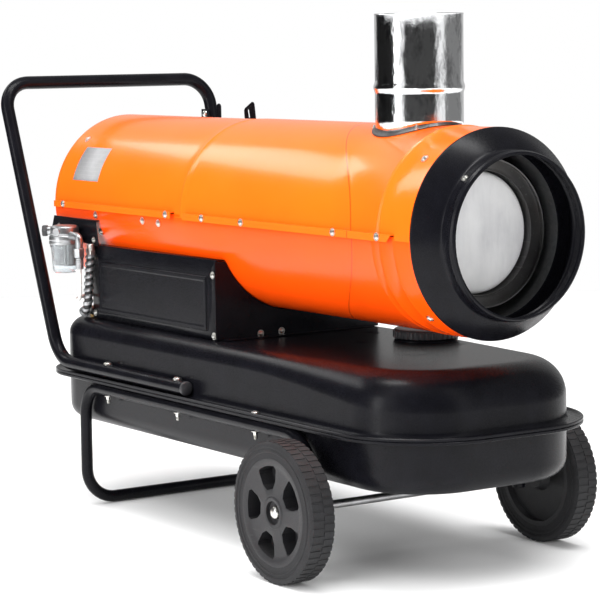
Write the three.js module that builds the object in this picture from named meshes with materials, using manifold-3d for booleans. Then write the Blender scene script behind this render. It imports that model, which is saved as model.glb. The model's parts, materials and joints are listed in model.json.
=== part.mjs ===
// Wheeled forced air heater with a flue: a fan blows air along a drum casing, past a closed
// combustion drum whose fumes leave by the flue, and out of the front ring.
// The casing lies on a control box, the box on a flanged fuel tank, and the tank on a bent tube
// frame with one axle and a foot bar. Millimetres; X runs to the outlet, Z up from the floor.
import * as THREE from "three";
import { mergeVertices } from "three/addons/utils/BufferGeometryUtils.js";
import Module from "manifold-3d";

const wasm = await Module();
wasm.setup();

// Clearance between pieces that touch.
const GAP = 0.3;

// Casing: a drum along X.
const AXIS_Z = 483;
const CASING_R = 144;
const CASING_REAR = -487;
const CASING_FRONT = 513;
const COVER_JOINT_X = -61;
const COVER_OVERLAP = 15;
const SHEET = 0.8;
const LIP_Y = 152;
const LIP_TOP = 5;
const LIP_REAR = -475;
const LIP_FRONT = 468.5;
const BEAD_HEIGHT = 1.2;
const BEAD_HALF = 3.5;
const ARC_STEPS = 16;
const BIG_ROUND = 20;
const MID_ROUND = 16;
const SMALL_ROUND = 10;
const WHEEL_ROUND = 20;

// Outlet ring, flue and the heat exchanger inside the casing.
const OUTLET_FRONT = 567;
const OUTLET_R = 114.7;
const FLUE_X = 342;
const FLUE_R = 62.6;
const FLUE_TOP = 784 - AXIS_Z;
const FLUE_BEAD = 198;
const STUB_R = 60;
const BULKHEAD_X = -156;
const SHIELD_R = 123;
const SHIELD_FRONT = 501;
const JACKET_R = 103.5;
const JACKET_FRONT = 491;
const DRUM_R = 88;
const DRUM_FRONT = 485;

// Fan, motor and pump on one shaft line.
const SHAFT_R = 6;
const FAN_R = 125;
const FAN_X = -435;
const BLADES = 5;
const MOTOR_R = 62;
const MOTOR_REAR = -398;
const MOTOR_FRONT = -292;

// Fuel tank: two pressed pans that meet at a flange.
const TANK_REAR = -451;
const TANK_FRONT = 533;
const TANK_HALF = 173;
const TANK_TOP = 300;
const TANK_BOTTOM = 133;
const SEAM_Z = 212.4;
const FLANGE_WIDTH = 24;
const TANK_SHEET = 1.5;
const NECK = { x: 205, y: 112, r: 40 };

// Control box between tank and casing.
const BOX = { rear: -356, front: 29, half: 147, bottom: 301, top: 422 };
const BOX_SHEET = 1.2;
const PANEL_LEDGE_Y = -131.8;
const FIELD = { rear: -327, front: -3, bottom: 316, top: 392, rise: 2 };

// Frame, handle, axle and wheels.
const FRAME_R = 9.5;
const RAIL_Y = 185;
const FRAME_Z = 198;
const FOOT_X = -319;
const FRAME_SIDES = 8;
const HANDLE_R = 11;
const HANDLE_Z = 228.3;
const HANDLE_FRONT = -4;
const AXLE_X = 334;
const AXLE_R = 6;
const WHEEL_R = 100;
const WHEEL_WIDTH = 40.5;
const WHEEL_OUTER = 253.7;
const RIM_R = 76;
const WINDOWS = 5;
const TREAD_EDGE = 3;

// Fuel line at the rear.
const FILTER = { x: -391, y: -178, top: 453 };
const HOSE_R = 4;
const GUARD_WIRE = 1.3;
const GUARD_R = 5.9;
const GUARD_PITCH = 11;

const metal = (color, roughness) =>
  new THREE.MeshStandardMaterial({ color, roughness, metalness: 1, flatShading: true });
const coated = (color, roughness) =>
  new THREE.MeshStandardMaterial({ color, roughness, metalness: 0, flatShading: true });
const finish = {
  orange: coated(0xf0560c, 0.3),
  black: coated(0x17171a, 0.4),
  steel: metal(0xb9bcc0, 0.35),
  bright: metal(0xe2e4e6, 0.12),
  galvanised: metal(0xa9adb0, 0.5),
  pale: coated(0xc9cac9, 0.8),
  aluminium: metal(0xc4c6c8, 0.38),
  brass: metal(0xb8924a, 0.35),
  rubber: coated(0x3a3a3d, 0.85),
  plastic: coated(0x2e2e31, 0.6),
  clear: coated(0xd8dadb, 0.15),
  paper: coated(0xe9e4d6, 0.9),
  red: coated(0xc4261d, 0.4),
};

const vec = (x, y, z) => new THREE.Vector3(x, y, z);
const degrees = (angle) => (angle * Math.PI) / 180;

// --- Solids ---------------------------------------------------------------------------------

// The closed solid of a geometry, with its faces turned outwards.
function solid(geometry) {
  const bare = geometry.index ? geometry.toNonIndexed() : geometry.clone();
  bare.deleteAttribute("normal");
  bare.deleteAttribute("uv");
  const merged = mergeVertices(bare, 1e-3);
  const vertProperties = merged.attributes.position.array;
  const triVerts = new Uint32Array(merged.index.array);
  const made = new wasm.Manifold(new wasm.Mesh({ numProp: 3, vertProperties, triVerts }));
  if (made.volume() > 0) return made;
  triVerts.reverse();
  return new wasm.Manifold(new wasm.Mesh({ numProp: 3, vertProperties, triVerts }));
}

const asSolid = (item) => (item.isBufferGeometry ? solid(item) : item);

const join = (...items) => items.map(asSolid).reduce((sum, item) => sum.add(item));

const cut = (base, ...tools) =>
  tools.map(asSolid).reduce((rest, tool) => rest.subtract(tool), asSolid(base));

// The geometry of a solid made by joins and cuts.
function shape(made) {
  const mesh = made.getMesh();
  const geometry = new THREE.BufferGeometry();
  geometry.setAttribute("position", new THREE.BufferAttribute(mesh.vertProperties, 3));
  geometry.setIndex(new THREE.BufferAttribute(mesh.triVerts, 1));
  return geometry;
}

function block(x0, x1, y0, y1, z0, z1) {
  const box = new THREE.BoxGeometry(x1 - x0, y1 - y0, z1 - z0);
  return box.translate((x0 + x1) / 2, (y0 + y1) / 2, (z0 + z1) / 2);
}

// Turns a shape drawn in XY and extruded along Z so that it runs along another axis.
const turns = {
  x: new THREE.Matrix4().makeBasis(vec(0, 1, 0), vec(0, 0, 1), vec(1, 0, 0)),
  y: new THREE.Matrix4().makeBasis(vec(1, 0, 0), vec(0, 0, 1), vec(0, -1, 0)),
  z: new THREE.Matrix4(),
};

// A flat outline, with holes, of one thickness. It starts at the origin and runs along +X or +Z,
// or along -Y.
function plate(outline, holes, depth, axis) {
  const face = new THREE.Shape(outline);
  face.holes = holes.map((hole) => new THREE.Path(hole));
  const options = { depth, bevelEnabled: false, curveSegments: 12 };
  return new THREE.ExtrudeGeometry(face, options).applyMatrix4(turns[axis]);
}

// A profile of [radius, position] pairs turned round an axis. It closes on itself.
function revolve(profile, steps, axis) {
  const points = [...profile, profile[0]].map(([r, t]) => new THREE.Vector2(r, t));
  if (THREE.ShapeUtils.area(points) < 0) points.reverse();
  const turned = new THREE.LatheGeometry(points, steps);
  if (axis === "x") return turned.rotateZ(-Math.PI / 2);
  if (axis === "z") return turned.rotateX(Math.PI / 2);
  return turned;
}

const rod = (r, from, to, steps, axis) =>
  revolve([[0, from], [r, from], [r, to], [0, to]], steps, axis);

const pipe = (r, wall, from, to, steps, axis) =>
  revolve([[r - wall, from], [r, from], [r, to], [r - wall, to]], steps, axis);

// Points of an arc round a centre, from one angle to another in degrees.
function arc(cx, cy, r, from, to, steps) {
  const at = (i) => degrees(from + ((to - from) * i) / steps);
  return Array.from({ length: steps + 1 }, (_, i) =>
    new THREE.Vector2(cx + r * Math.cos(at(i)), cy + r * Math.sin(at(i))));
}

const circle = (cx, cy, r, steps) => arc(cx, cy, r, 0, 360, steps).slice(0, steps);

// Skins a row of closed rings with equal counts of points and closes both ends. The ends are
// flat in the two coordinates that `flat` picks.
function loft(rings, flat) {
  const count = rings[0].length;
  const positions = rings.flat().flatMap((p) => [p.x, p.y, p.z]);
  const index = [];
  for (let r = 0; r + 1 < rings.length; r++) {
    for (let i = 0; i < count; i++) {
      const a = r * count + i;
      const b = r * count + ((i + 1) % count);
      index.push(a, b, b + count, a, b + count, a + count);
    }
  }
  const last = (rings.length - 1) * count;
  for (const [start, inward] of [[0, true], [last, false]]) {
    const ring = rings[start / count].map(flat);
    const clockwise = THREE.ShapeUtils.isClockWise(ring);
    for (const [a, b, c] of THREE.ShapeUtils.triangulateShape(ring, [])) {
      const area = (ring[b].x - ring[a].x) * (ring[c].y - ring[a].y)
        - (ring[c].x - ring[a].x) * (ring[b].y - ring[a].y);
      const along = area < 0 === clockwise;
      index.push(start + a, ...(along === inward ? [start + c, start + b] : [start + b, start + c]));
    }
  }
  const geometry = new THREE.BufferGeometry();
  geometry.setAttribute("position", new THREE.Float32BufferAttribute(positions, 3));
  geometry.setIndex(index);
  return geometry;
}

// A curve through given points, whose steps fall exactly on them.
class Stations extends THREE.Curve {
  constructor(points) {
    super();
    this.points = points;
  }
  getPoint(t, target = new THREE.Vector3()) {
    const place = t * (this.points.length - 1);
    const i = Math.min(Math.floor(place), this.points.length - 2);
    return target.copy(this.points[i]).lerp(this.points[i + 1], place - i);
  }
  getUtoTmapping(u) {
    return u;
  }
}

// The points of straight runs between corners that are rounded to the given radii.
function bentRoute(corners, radii, stepsPerBend) {
  const points = [corners[0]];
  for (let i = 1; i + 1 < corners.length; i++) {
    const into = corners[i].clone().sub(corners[i - 1]).normalize();
    const out = corners[i + 1].clone().sub(corners[i]).normalize();
    const turn = into.angleTo(out);
    const setback = radii[i - 1] * Math.tan(turn / 2);
    const start = corners[i].clone().addScaledVector(into, -setback);
    const side = out.clone().addScaledVector(into, -out.dot(into)).normalize();
    for (let s = 0; s <= stepsPerBend; s++) {
      const angle = (turn * s) / stepsPerBend;
      const ahead = radii[i - 1] * Math.sin(angle);
      const across = radii[i - 1] * (1 - Math.cos(angle));
      points.push(start.clone().addScaledVector(into, ahead).addScaledVector(side, across));
    }
  }
  points.push(corners[corners.length - 1]);
  return points;
}

// A round tube or rod along a route, with a flat side downwards where it lies level. With a wall
// it is open at both ends.
function tube(points, r, wall, sides) {
  const half = 180 / sides;
  const section = new THREE.Shape(arc(0, 0, r, half, 360 - half, sides - 1));
  if (wall > 0) section.holes = [new THREE.Path(circle(0, 0, r - wall, 6))];
  const extrudePath = new Stations(points);
  const options = { steps: points.length - 1, bevelEnabled: false, extrudePath };
  return new THREE.ExtrudeGeometry(section, options);
}

const mirrorY = (p) => vec(p.x, -p.y, p.z);

// --- Casing, about its own axis ----------------------------------------------------------------

// Radius changes along a pressed sheet: a raised bead at each given place.
function beaded(from, to, radius, beads, endRadius = radius) {
  const middle = beads.flatMap((x) => [
    [x - BEAD_HALF, radius],
    [x, radius + BEAD_HEIGHT],
    [x + BEAD_HALF, radius],
  ]);
  return [[from, radius], ...middle, [to, endRadius]];
}

// Half drum that opens downwards, with the outward step and the skirt along both sides.
function coverSection(x, r) {
  const foot = Math.asin(LIP_TOP / r) * (180 / Math.PI);
  const inner = r - SHEET;
  const innerFoot = Math.asin((LIP_TOP - SHEET) / inner) * (180 / Math.PI);
  const skirt = [[LIP_Y, LIP_TOP], [LIP_Y, -LIP_TOP], [LIP_Y - SHEET, -LIP_TOP]];
  const ledge = [...skirt, [LIP_Y - SHEET, LIP_TOP - SHEET]];
  return [
    ...arc(0, 0, r, 180 - foot, foot, ARC_STEPS),
    ...ledge.map(([y, z]) => new THREE.Vector2(y, z)),
    ...arc(0, 0, inner, innerFoot, 180 - innerFoot, ARC_STEPS),
    ...ledge.reverse().map(([y, z]) => new THREE.Vector2(-y, z)),
  ].map((p) => vec(x, p.x, p.y));
}

const acrossX = (p) => new THREE.Vector2(p.y, p.z);

// Tools that take the lip off both sides between two places along X, the first cut slanted.
function lipTrim(from, to, r, slant = 0) {
  const inside = r + 0.2;
  const depth = LIP_Y + 5 - inside;
  const corners = [[from, -10], [to, -10], [to, LIP_TOP + 1], [from + slant, LIP_TOP + 1]];
  const outline = corners.map(([x, z]) => new THREE.Vector2(x, z));
  return [LIP_Y + 5, -inside].map((y) => plate(outline, [], depth, "y").translate(0, y, 0));
}

function rearCover() {
  const end = COVER_JOINT_X + COVER_OVERLAP;
  const stations = beaded(CASING_REAR, end, CASING_R, [COVER_JOINT_X - 16]);
  const skin = loft(stations.map(([x, r]) => coverSection(x, r)), acrossX);
  const rearTrim = lipTrim(CASING_REAR - 5, LIP_REAR, CASING_R);
  const frontTrim = lipTrim(COVER_JOINT_X - 36, end + 5, CASING_R);
  return shape(cut(skin, ...rearTrim, ...frontTrim));
}

function frontCover() {
  const r = CASING_R + SHEET + 0.5;
  const stations = beaded(COVER_JOINT_X, CASING_FRONT, r, [440], r + 0.7);
  const skin = loft(stations.map(([x, radius]) => coverSection(x, radius)), acrossX);
  const flueHole = rod(FLUE_R + 1, 100, 200, BIG_ROUND, "z").translate(FLUE_X, 0, 0);
  return shape(cut(skin, flueHole, ...lipTrim(LIP_FRONT, CASING_FRONT + 5, r, 9)));
}

// Half drum that opens upwards, with a small flange outwards.
function lowerSection(x, r) {
  const top = 3;
  const under = top - SHEET;
  const foot = Math.asin(under / r) * (180 / Math.PI);
  const inner = r - SHEET;
  const innerFoot = Math.asin(top / inner) * (180 / Math.PI);
  const edge = LIP_Y - 2.5;
  const flange = [new THREE.Vector2(edge, under), new THREE.Vector2(edge, top)];
  return [
    ...arc(0, 0, r, -180 - foot, foot, ARC_STEPS),
    ...flange,
    ...arc(0, 0, inner, innerFoot, -180 - innerFoot, ARC_STEPS),
    ...flange.reverse().map((p) => new THREE.Vector2(-p.x, p.y)),
  ].map((p) => vec(x, p.x, p.y));
}

function lowerShell() {
  const stations = beaded(CASING_REAR, CASING_FRONT, CASING_R, [442, 474]);
  const skin = loft(stations.map(([x, r]) => lowerSection(x, r)), acrossX);
  const ends = [
    ...lipTrim(CASING_REAR - 5, LIP_REAR, CASING_R),
    ...lipTrim(LIP_FRONT, CASING_FRONT + 5, CASING_R),
  ];
  return shape(cut(skin, ...ends));
}

// Cone and collar of the outlet, with a spigot that sits in the casing.
function outletRing() {
  const x = CASING_FRONT + GAP;
  const spigot = CASING_R - 1.6;
  const profile = [
    [spigot, x - 14], [spigot, x], [CASING_R + 2, x], [CASING_R + 2, 516],
    [OUTLET_R, 541], [OUTLET_R, 557], [OUTLET_R + 1.3, 560], [OUTLET_R, 563],
    [OUTLET_R - 1.4, OUTLET_FRONT], [OUTLET_R - 5, OUTLET_FRONT],
    [OUTLET_R - 1.2, 562.6], [OUTLET_R - 1.2, 540.4], [spigot - 1.2, 518.3], [spigot - 1.2, x - 14],
  ];
  return revolve(profile, BIG_ROUND, "x");
}

// Annular plate that closes the gap between heat shield and casing.
function endRing() {
  const rim = CASING_R - 3.3;
  const face = SHIELD_FRONT + 2;
  const profile = [
    [118, face], [rim - 1, face], [rim - 1, face - 12], [rim, face - 12], [rim, face + 1], [118, face + 1],
  ];
  return revolve(profile, BIG_ROUND, "x");
}

function heatShield() {
  const skin = pipe(SHIELD_R, 1.2, BULKHEAD_X + 3.3, SHIELD_FRONT, BIG_ROUND, "x");
  const hole = rod(STUB_R + 4, 60, 140, MID_ROUND, "z").translate(FLUE_X, 0, 0);
  return shape(cut(skin, hole));
}

// Exchanger shell round the combustion drum, with the stub that carries fumes to the flue.
function exchangerJacket() {
  const rear = BULKHEAD_X + 3.3;
  const inner = JACKET_R - 1.2;
  const seat = DRUM_R + GAP + 0.1;
  const profile = [
    [JACKET_R, rear], [JACKET_R, JACKET_FRONT], [inner, JACKET_FRONT], [inner, 483.2],
    [seat, 483.2], [seat, 482], [inner, 482], [inner, rear],
  ];
  const shell = solid(revolve(profile, BIG_ROUND, "x"));
  const stub = solid(rod(STUB_R, 70, 165, MID_ROUND, "z").translate(FLUE_X, 0, 0));
  const bore = solid(rod(STUB_R - 1.2, 70, 170, MID_ROUND, "z").translate(FLUE_X, 0, 0));
  const within = solid(rod(inner, rear, JACKET_FRONT, BIG_ROUND, "x"));
  const opening = bore.subtract(solid(rod(inner - 4, rear, JACKET_FRONT, BIG_ROUND, "x")));
  return shape(shell.add(stub.subtract(within)).subtract(opening));
}

function combustionDrum() {
  const wall = 1.2;
  const profile = [
    [DRUM_R, BULKHEAD_X + 3.3], [DRUM_R, DRUM_FRONT], [DRUM_R - 2.6, DRUM_FRONT],
    [DRUM_R - wall, DRUM_FRONT - 1.4], [DRUM_R - wall, BULKHEAD_X + 3.3],
  ];
  return revolve(profile, BIG_ROUND, "x");
}

// Pale dished plate that closes the drum at the front.
function drumEndPlate() {
  const r = DRUM_R - 1.6;
  const profile = [
    [0, 478.6], [40, 477.8], [79, 475], [84.4, 472], [r, 462],
    [r - 1.2, 462], [83.2, 471], [78.4, 473.8], [40, 476.6], [0, 477.4],
  ];
  return revolve(profile, BIG_ROUND, "x");
}

function fluePipe() {
  const inner = FLUE_R - 1.2;
  const profile = [
    [inner, 120], [FLUE_R, 120], [FLUE_R, FLUE_BEAD - 7], [FLUE_R + 2, FLUE_BEAD - 3],
    [FLUE_R + 2, FLUE_BEAD + 3], [FLUE_R, FLUE_BEAD + 7], [FLUE_R, FLUE_TOP],
    [inner, FLUE_TOP],
  ];
  const saddle = rod(CASING_R + 1.6 + GAP, -200, 200, 48, "x");
  const wall = revolve(profile, BIG_ROUND, "z");
  return shape(cut(wall, saddle)).translate(FLUE_X, 0, 0);
}

// Saddle collar that follows the drum round the foot of the flue.
function flueCollar() {
  const inner = FLUE_R + GAP + 0.1;
  const outside = solid(rod(CASING_R + 3.4, -120, 120, 48, "x"));
  const inside = solid(rod(CASING_R + 1.6 + GAP, -130, 130, 48, "x"));
  const foot = solid(pipe(inner + 10, 10, 60, 170, BIG_ROUND, "z")).intersect(outside);
  return shape(foot.subtract(inside)).translate(FLUE_X, 0, 0);
}

// Punched guard of the air intake: rings of curved slots round a blank.
function intakeGrille() {
  const rim = CASING_R - 2;
  const slots = [[46, 84, 6], [94, 130, 4]].flatMap(([inner, outer, ends]) =>
    Array.from({ length: 6 }, (_, i) => {
      const [from, to] = [i * 60 + ends, i * 60 + 60 - ends];
      return [...arc(0, 0, outer, from, to, 3), ...arc(0, 0, inner, to, from, 2)];
    }));
  const face = plate(circle(0, 0, rim, BIG_ROUND), slots, SHEET, "x");
  return face.translate(CASING_REAR + 2, 0, 0);
}

// --- Air mover and burner, about the same axis -------------------------------------------------

// One fan blade: a thin cambered section that turns flatter towards its tip.
function fanBlade() {
  const chord = [[-1, -0.5], [-0.3, 0.9], [0.4, 0.8], [1, -0.5]];
  const rings = [[26, 34, 52], [70, 50, 38], [FAN_R, 52, 24]].map(([r, width, pitch]) => {
    const outline = (lift) => chord.map(([a, c]) => [(a * width) / 2, c * 3 + lift]);
    return [...outline(0.8), ...outline(-0.8).reverse()].map(([a, b]) => {
      const turn = degrees(pitch);
      return vec(a * Math.sin(turn) + b * Math.cos(turn), a * Math.cos(turn) - b * Math.sin(turn), r);
    });
  });
  return loft(rings, (p) => new THREE.Vector2(p.x, p.y));
}

function fan() {
  const hub = revolve([
    [0, -19], [12, -19], [14, -8], [30, -14], [33, -14], [33, 16], [14, 16], [14, 20], [0, 20],
  ], SMALL_ROUND + 2, "x");
  const blades = Array.from({ length: BLADES }, (_, i) =>
    fanBlade().rotateX((i * 2 * Math.PI) / BLADES));
  const shaft = driveShaft().translate(-FAN_X, 0, 0);
  return shape(join(hub, shaft, ...blades)).translate(FAN_X, 0, 0);
}

// Shaft from the fan through the motor to the coupling at the pump.
function driveShaft() {
  const coupling = MOTOR_FRONT + 3;
  return revolve([
    [0, FAN_X - 26], [SHAFT_R, FAN_X - 26], [SHAFT_R, coupling], [12, coupling], [12, coupling + 11],
    [0, coupling + 11],
  ], SMALL_ROUND, "x");
}

function motor() {
  const bore = SHAFT_R + 0.6;
  const bell = (end, inward) => [
    [bore, end], [18, end], [20, end + 6 * inward], [46, end + 8 * inward], [MOTOR_R, end + 22 * inward],
  ];
  return revolve([...bell(MOTOR_REAR, 1), ...bell(MOTOR_FRONT, -1).reverse()], SMALL_ROUND + 2, "x");
}

// Outline of a band round the axis with equal arms out to the casing.
function spider(ring, arms, reach, halfWidth, firstAngle) {
  const points = [];
  for (let i = 0; i < arms; i++) {
    const middle = firstAngle + (360 / arms) * i;
    const root = Math.asin(halfWidth / ring) * (180 / Math.PI);
    const tip = Math.asin(halfWidth / reach) * (180 / Math.PI);
    points.push(...arc(0, 0, reach, middle - tip, middle + tip, 2));
    points.push(...arc(0, 0, ring, middle + root, middle + 360 / arms - root, 4));
  }
  return points;
}

function motorBracket() {
  const outline = spider(74, 3, CASING_R - 2, 16, 90);
  return plate(outline, [circle(0, 0, MOTOR_R + 1.6, MID_ROUND)], 4, "x").translate(-347, 0, 0);
}

// Gear pump on three posts against the motor, with its banjo port.
function fuelPump() {
  const rear = MOTOR_FRONT + 15;
  const body = rod(24, rear, rear + 40, 16, "x");
  const flange = rod(38, rear, rear + 5, 16, "x");
  const posts = [30, 150, 270].map((angle) =>
    rod(4, MOTOR_FRONT - 6, rear + 2, 6, "x").translate(0, 32, 0).rotateX(degrees(angle)));
  const port = rod(6, 20, 34, 8, "z").translate(rear + 28, 0, 0);
  return shape(join(body, flange, ...posts, port));
}

// Plate with four arms that carries burner, drum and jacket in the casing.
function bulkhead() {
  const outline = spider(JACKET_R + 1, 4, CASING_R - 2, 15, 45);
  return plate(outline, [circle(0, 0, 45, MID_ROUND)], 3, "x").translate(BULKHEAD_X, 0, 0);
}

function burnerTube() {
  const profile = [
    [42.4, -228], [44, -228], [44, -160], [62, -160], [62, -156.4], [44, -156.4], [44, -120],
    [34, -114], [33, -115.4], [42.4, -121],
  ];
  return revolve(profile, SMALL_ROUND + 2, "x");
}

// Burner head: a plate with slanted slots that turns the air, the nozzle holder through its middle
// and two electrodes in ceramic sleeves on one clamp.
function burnerHead() {
  const slots = Array.from({ length: 4 }, (_, i) => {
    const slot = block(-4, 4, -1.8, 1.8, 25, 36).rotateZ(degrees(25));
    return slot.translate(-128, 0, 0).rotateX(degrees(45 + 90 * i));
  });
  const plateDisc = rod(40, -129.2, -127.8, SMALL_ROUND + 2, "x");
  const holder = revolve([
    [0, -212], [9, -212], [9, -150], [7, -148], [7, -134], [9.2, -134], [9.2, -126], [1, -120], [0, -120],
  ], SMALL_ROUND, "x");
  const clamp = block(-172, -164, -16, 16, 5, 26);
  const sleeves = [-10, 10].map((y) => rod(4, -205, -127.9, 6, "x").translate(0, y, 16));
  return shape(join(cut(plateDisc, ...slots), holder, clamp, ...sleeves));
}

// --- Control box -------------------------------------------------------------------------------

const CLEAR_R = CASING_R + 1.5;

// Outline of a box end: flat bottom, upright sides and the hollow that follows the drum.
function boxOutline(half, bottom, top) {
  const rise = top - AXIS_Z;
  const reach = Math.sqrt(CLEAR_R ** 2 - rise ** 2);
  const angle = Math.atan2(rise, reach) * (180 / Math.PI);
  const hollow = arc(0, AXIS_Z, CLEAR_R, angle, -180 - angle, 18);
  const corner = (y, z) => new THREE.Vector2(y, z);
  return [corner(-half, bottom), corner(half, bottom), corner(half, top), ...hollow, corner(-half, top)];
}

// Floor and rear wall in one bent sheet, with flanges that the side panels screw to.
function controlBox() {
  const half = BOX.half - BOX_SHEET - GAP;
  const wall = BOX_SHEET;
  const outline = boxOutline(half, BOX.bottom, BOX.top - wall - GAP);
  const whole = solid(plate(outline, [], BOX.front - BOX.rear - wall - GAP, "x").translate(BOX.rear, 0, 0));
  const room = block(BOX.rear + wall, BOX.front + 5, -half + 14, half - 14, BOX.bottom + wall, 500);
  const sides = [-1, 1].map((side) => {
    const from = Math.min(side * (half - 14.1), side * (half - wall));
    const to = Math.max(side * (half - 14.1), side * (half - wall));
    return block(BOX.rear + wall, BOX.front + 5, from, to, BOX.bottom + wall, 500);
  });
  const windows = [-1, 1].map((side) => {
    const y = side * half;
    return block(BOX.rear + 14, BOX.front - 14, y - 3, y + 3, BOX.bottom + 14, 500);
  });
  return shape(cut(whole, room, ...sides, ...windows));
}

// Front wall, cut out round the drum, with a foot flange on the tank.
function boxFrontPlate() {
  const wall = BOX_SHEET;
  const face = plate(boxOutline(BOX.half + 3, BOX.bottom, BOX.top - 2), [], wall, "x");
  const foot = block(wall - 0.1, 14, -BOX.half + 10, BOX.half - 10, BOX.bottom, BOX.bottom + wall);
  return shape(join(face, foot)).translate(BOX.front - wall, 0, 0);
}

// Flat side panel with its ledge towards the drum, drawn for the near side.
function panelSheet(rear, front) {
  const y = -BOX.half;
  const skin = block(rear, front, y, y + BOX_SHEET, BOX.bottom, BOX.top);
  return join(skin, block(rear, front, y, PANEL_LEDGE_Y, BOX.top - BOX_SHEET, BOX.top));
}

// Near panel: its field is pressed outwards, with slanted edges.
function sidePanel() {
  const ring = (grow, y) => {
    const [x0, x1] = [FIELD.rear - grow, FIELD.front + grow];
    const [z0, z1] = [FIELD.bottom - grow, FIELD.top + grow];
    return [vec(x0, y, z0), vec(x1, y, z0), vec(x1, y, z1), vec(x0, y, z1)];
  };
  const flat = (p) => new THREE.Vector2(p.x, p.z);
  const y = -BOX.half;
  const outside = loft([ring(3.6, y), ring(0.6, y - FIELD.rise)], flat);
  const slope = BOX_SHEET + 0.8;
  const inside = loft([ring(3, y + 5), ring(3, y + BOX_SHEET), ring(0, y + slope - FIELD.rise)], flat);
  return shape(cut(join(panelSheet(BOX.rear + 0.4, BOX.front - BOX_SHEET - GAP), outside), inside));
}

// Controls on the far panel, and the space that each one's body needs in it.
const CONTROLS = {
  z: 366,
  switchX: -95,
  lampX: -148,
  knobX: -205,
  resetX: -262,
  glandX: -318,
  glandZ: 335,
};

// Far panel, drawn as seen from outside, with a hole for each control.
function controlPlate() {
  const y = -BOX.half;
  const through = (r, x, z) => rod(r, -4, 6, SMALL_ROUND, "y").translate(-x, y, z);
  const holes = [
    block(-CONTROLS.switchX - 14, -CONTROLS.switchX + 14, y - 4, y + 6, CONTROLS.z - 11, CONTROLS.z + 11),
    through(5.3, CONTROLS.lampX, CONTROLS.z),
    through(4.5, CONTROLS.knobX, CONTROLS.z),
    through(5.6, CONTROLS.resetX, CONTROLS.z),
    through(8.3, CONTROLS.glandX, CONTROLS.glandZ),
  ];
  return shape(cut(panelSheet(-BOX.front + BOX_SHEET + GAP, -BOX.rear - 0.4), ...holes));
}

// Controls are drawn looking at the panel: X along it, Y into it and Z up.
function switchBezel() {
  const frame = block(-17, 17, -2.6, -GAP, -14, 14);
  const body = block(-13.6, 13.6, -1, 24, -10.6, 10.6);
  const well = block(-11, 11, -4, 14, -8, 8);
  return shape(cut(join(frame, body), well));
}

// Rocker with two slanted faces. Its pivot is the origin.
function rocker() {
  const outline = [[-7, -9], [0, -7.6], [7, -6.2], [7, 0], [3, 5], [-3, 5], [-7, 0]];
  const face = outline.map(([z, y]) => new THREE.Vector2(y, z));
  return plate(face, [], 20.8, "x").translate(-10.4, 0, 0);
}

// Dial knob: a fluted grip on a skirt, with a pointer ridge and its spindle.
function knob() {
  const flutes = 10;
  const grip = Array.from({ length: flutes * 2 }, (_, i) => {
    const r = i % 2 ? 13.2 : 14.6;
    const angle = (i * Math.PI) / flutes;
    return new THREE.Vector2(r * Math.cos(angle), r * Math.sin(angle));
  });
  const body = plate(grip, [], 15, "y");
  const skirt = rod(19, -3.2, -GAP - 0.1, MID_ROUND, "y");
  const pointer = block(-1.5, 1.5, -16.5, -10, 0, 13);
  const spindle = rod(4, -2, 16, 8, "y");
  return shape(join(body.translate(0, -1, 0), skirt, pointer, spindle));
}

const resetButton = () =>
  revolve([[0, -9], [4.4, -9], [5, -8.4], [5, 12], [0, 12]], SMALL_ROUND, "y");

const pilotLamp = () => revolve([
  [0, -7], [3.5, -6.4], [5.4, -4], [7, -4], [7, -GAP], [4.9, -GAP], [4.9, 14], [0, 14],
], SMALL_ROUND, "y");

// Cable gland with its hexagon and dome nut, bored for a cord.
function cordGland() {
  const bore = 4;
  const hexagon = rod(13, -8, -GAP, 6, "y");
  const body = revolve([
    [0, -21], [7.5, -21], [10.5, -17], [10.5, -7.5], [8, -7.5], [8, 10], [0, 10],
  ], SMALL_ROUND, "y");
  return shape(cut(join(hexagon, body), rod(bore, -30, 30, SMALL_ROUND, "y")));
}

// Ignition transformer with its two insulator towers, on two feet.
function transformer() {
  const body = block(-34, 34, -21, 21, 2, 42);
  const feet = block(-44, 44, -14, 14, 0, 2.2);
  const towers = [-14, 14].map((x) =>
    revolve([[0, 40], [8, 40], [8, 48], [5, 51], [5, 55], [0, 55]], 10, "z").translate(x, 0, 0));
  return shape(join(body, feet, ...towers));
}

// --- Fuel tank ---------------------------------------------------------------------------------

// Plan outline of the tank, grown or shrunk by an offset: tighter corners at the rear.
function tankRing(offset, z) {
  const rear = 80 + offset;
  const front = 120 + offset;
  const [x0, x1, y] = [TANK_REAR - offset, TANK_FRONT + offset, TANK_HALF + offset];
  const height = typeof z === "function" ? z : () => z;
  return [
    ...arc(x1 - front, y - front, front, 0, 90, 6),
    ...arc(x0 + rear, y - rear, rear, 90, 180, 4),
    ...arc(x0 + rear, -y + rear, rear, 180, 270, 4),
    ...arc(x1 - front, -y + front, front, 270, 360, 6),
  ].map((p) => vec(p.x, p.y, height(p.x)));
}

// Shoulder radius: it grows over the front third of the tank.
function shoulder(x) {
  const along = THREE.MathUtils.smoothstep(x, 150, TANK_FRONT);
  return THREE.MathUtils.lerp(28, 54, along);
}

// Rings of a rounded edge between wall and top. The inset follows the local radius.
function shoulderRings(wall, steps) {
  return Array.from({ length: steps + 1 }, (_, i) => {
    const angle = (Math.PI / 2) * (i / steps);
    const base = tankRing(-wall, 0);
    const inner = tankRing(-wall - 28, 0);
    return base.map((p, k) => {
      const r = shoulder(p.x) - wall;
      const inset = (r * (1 - Math.cos(angle))) / 28;
      const z = TANK_TOP - wall - r * (1 - Math.sin(angle));
      return vec(p.x + (inner[k].x - p.x) * inset, p.y + (inner[k].y - p.y) * inset, z);
    });
  });
}

const planOf = (p) => new THREE.Vector2(p.x, p.y);

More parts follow.
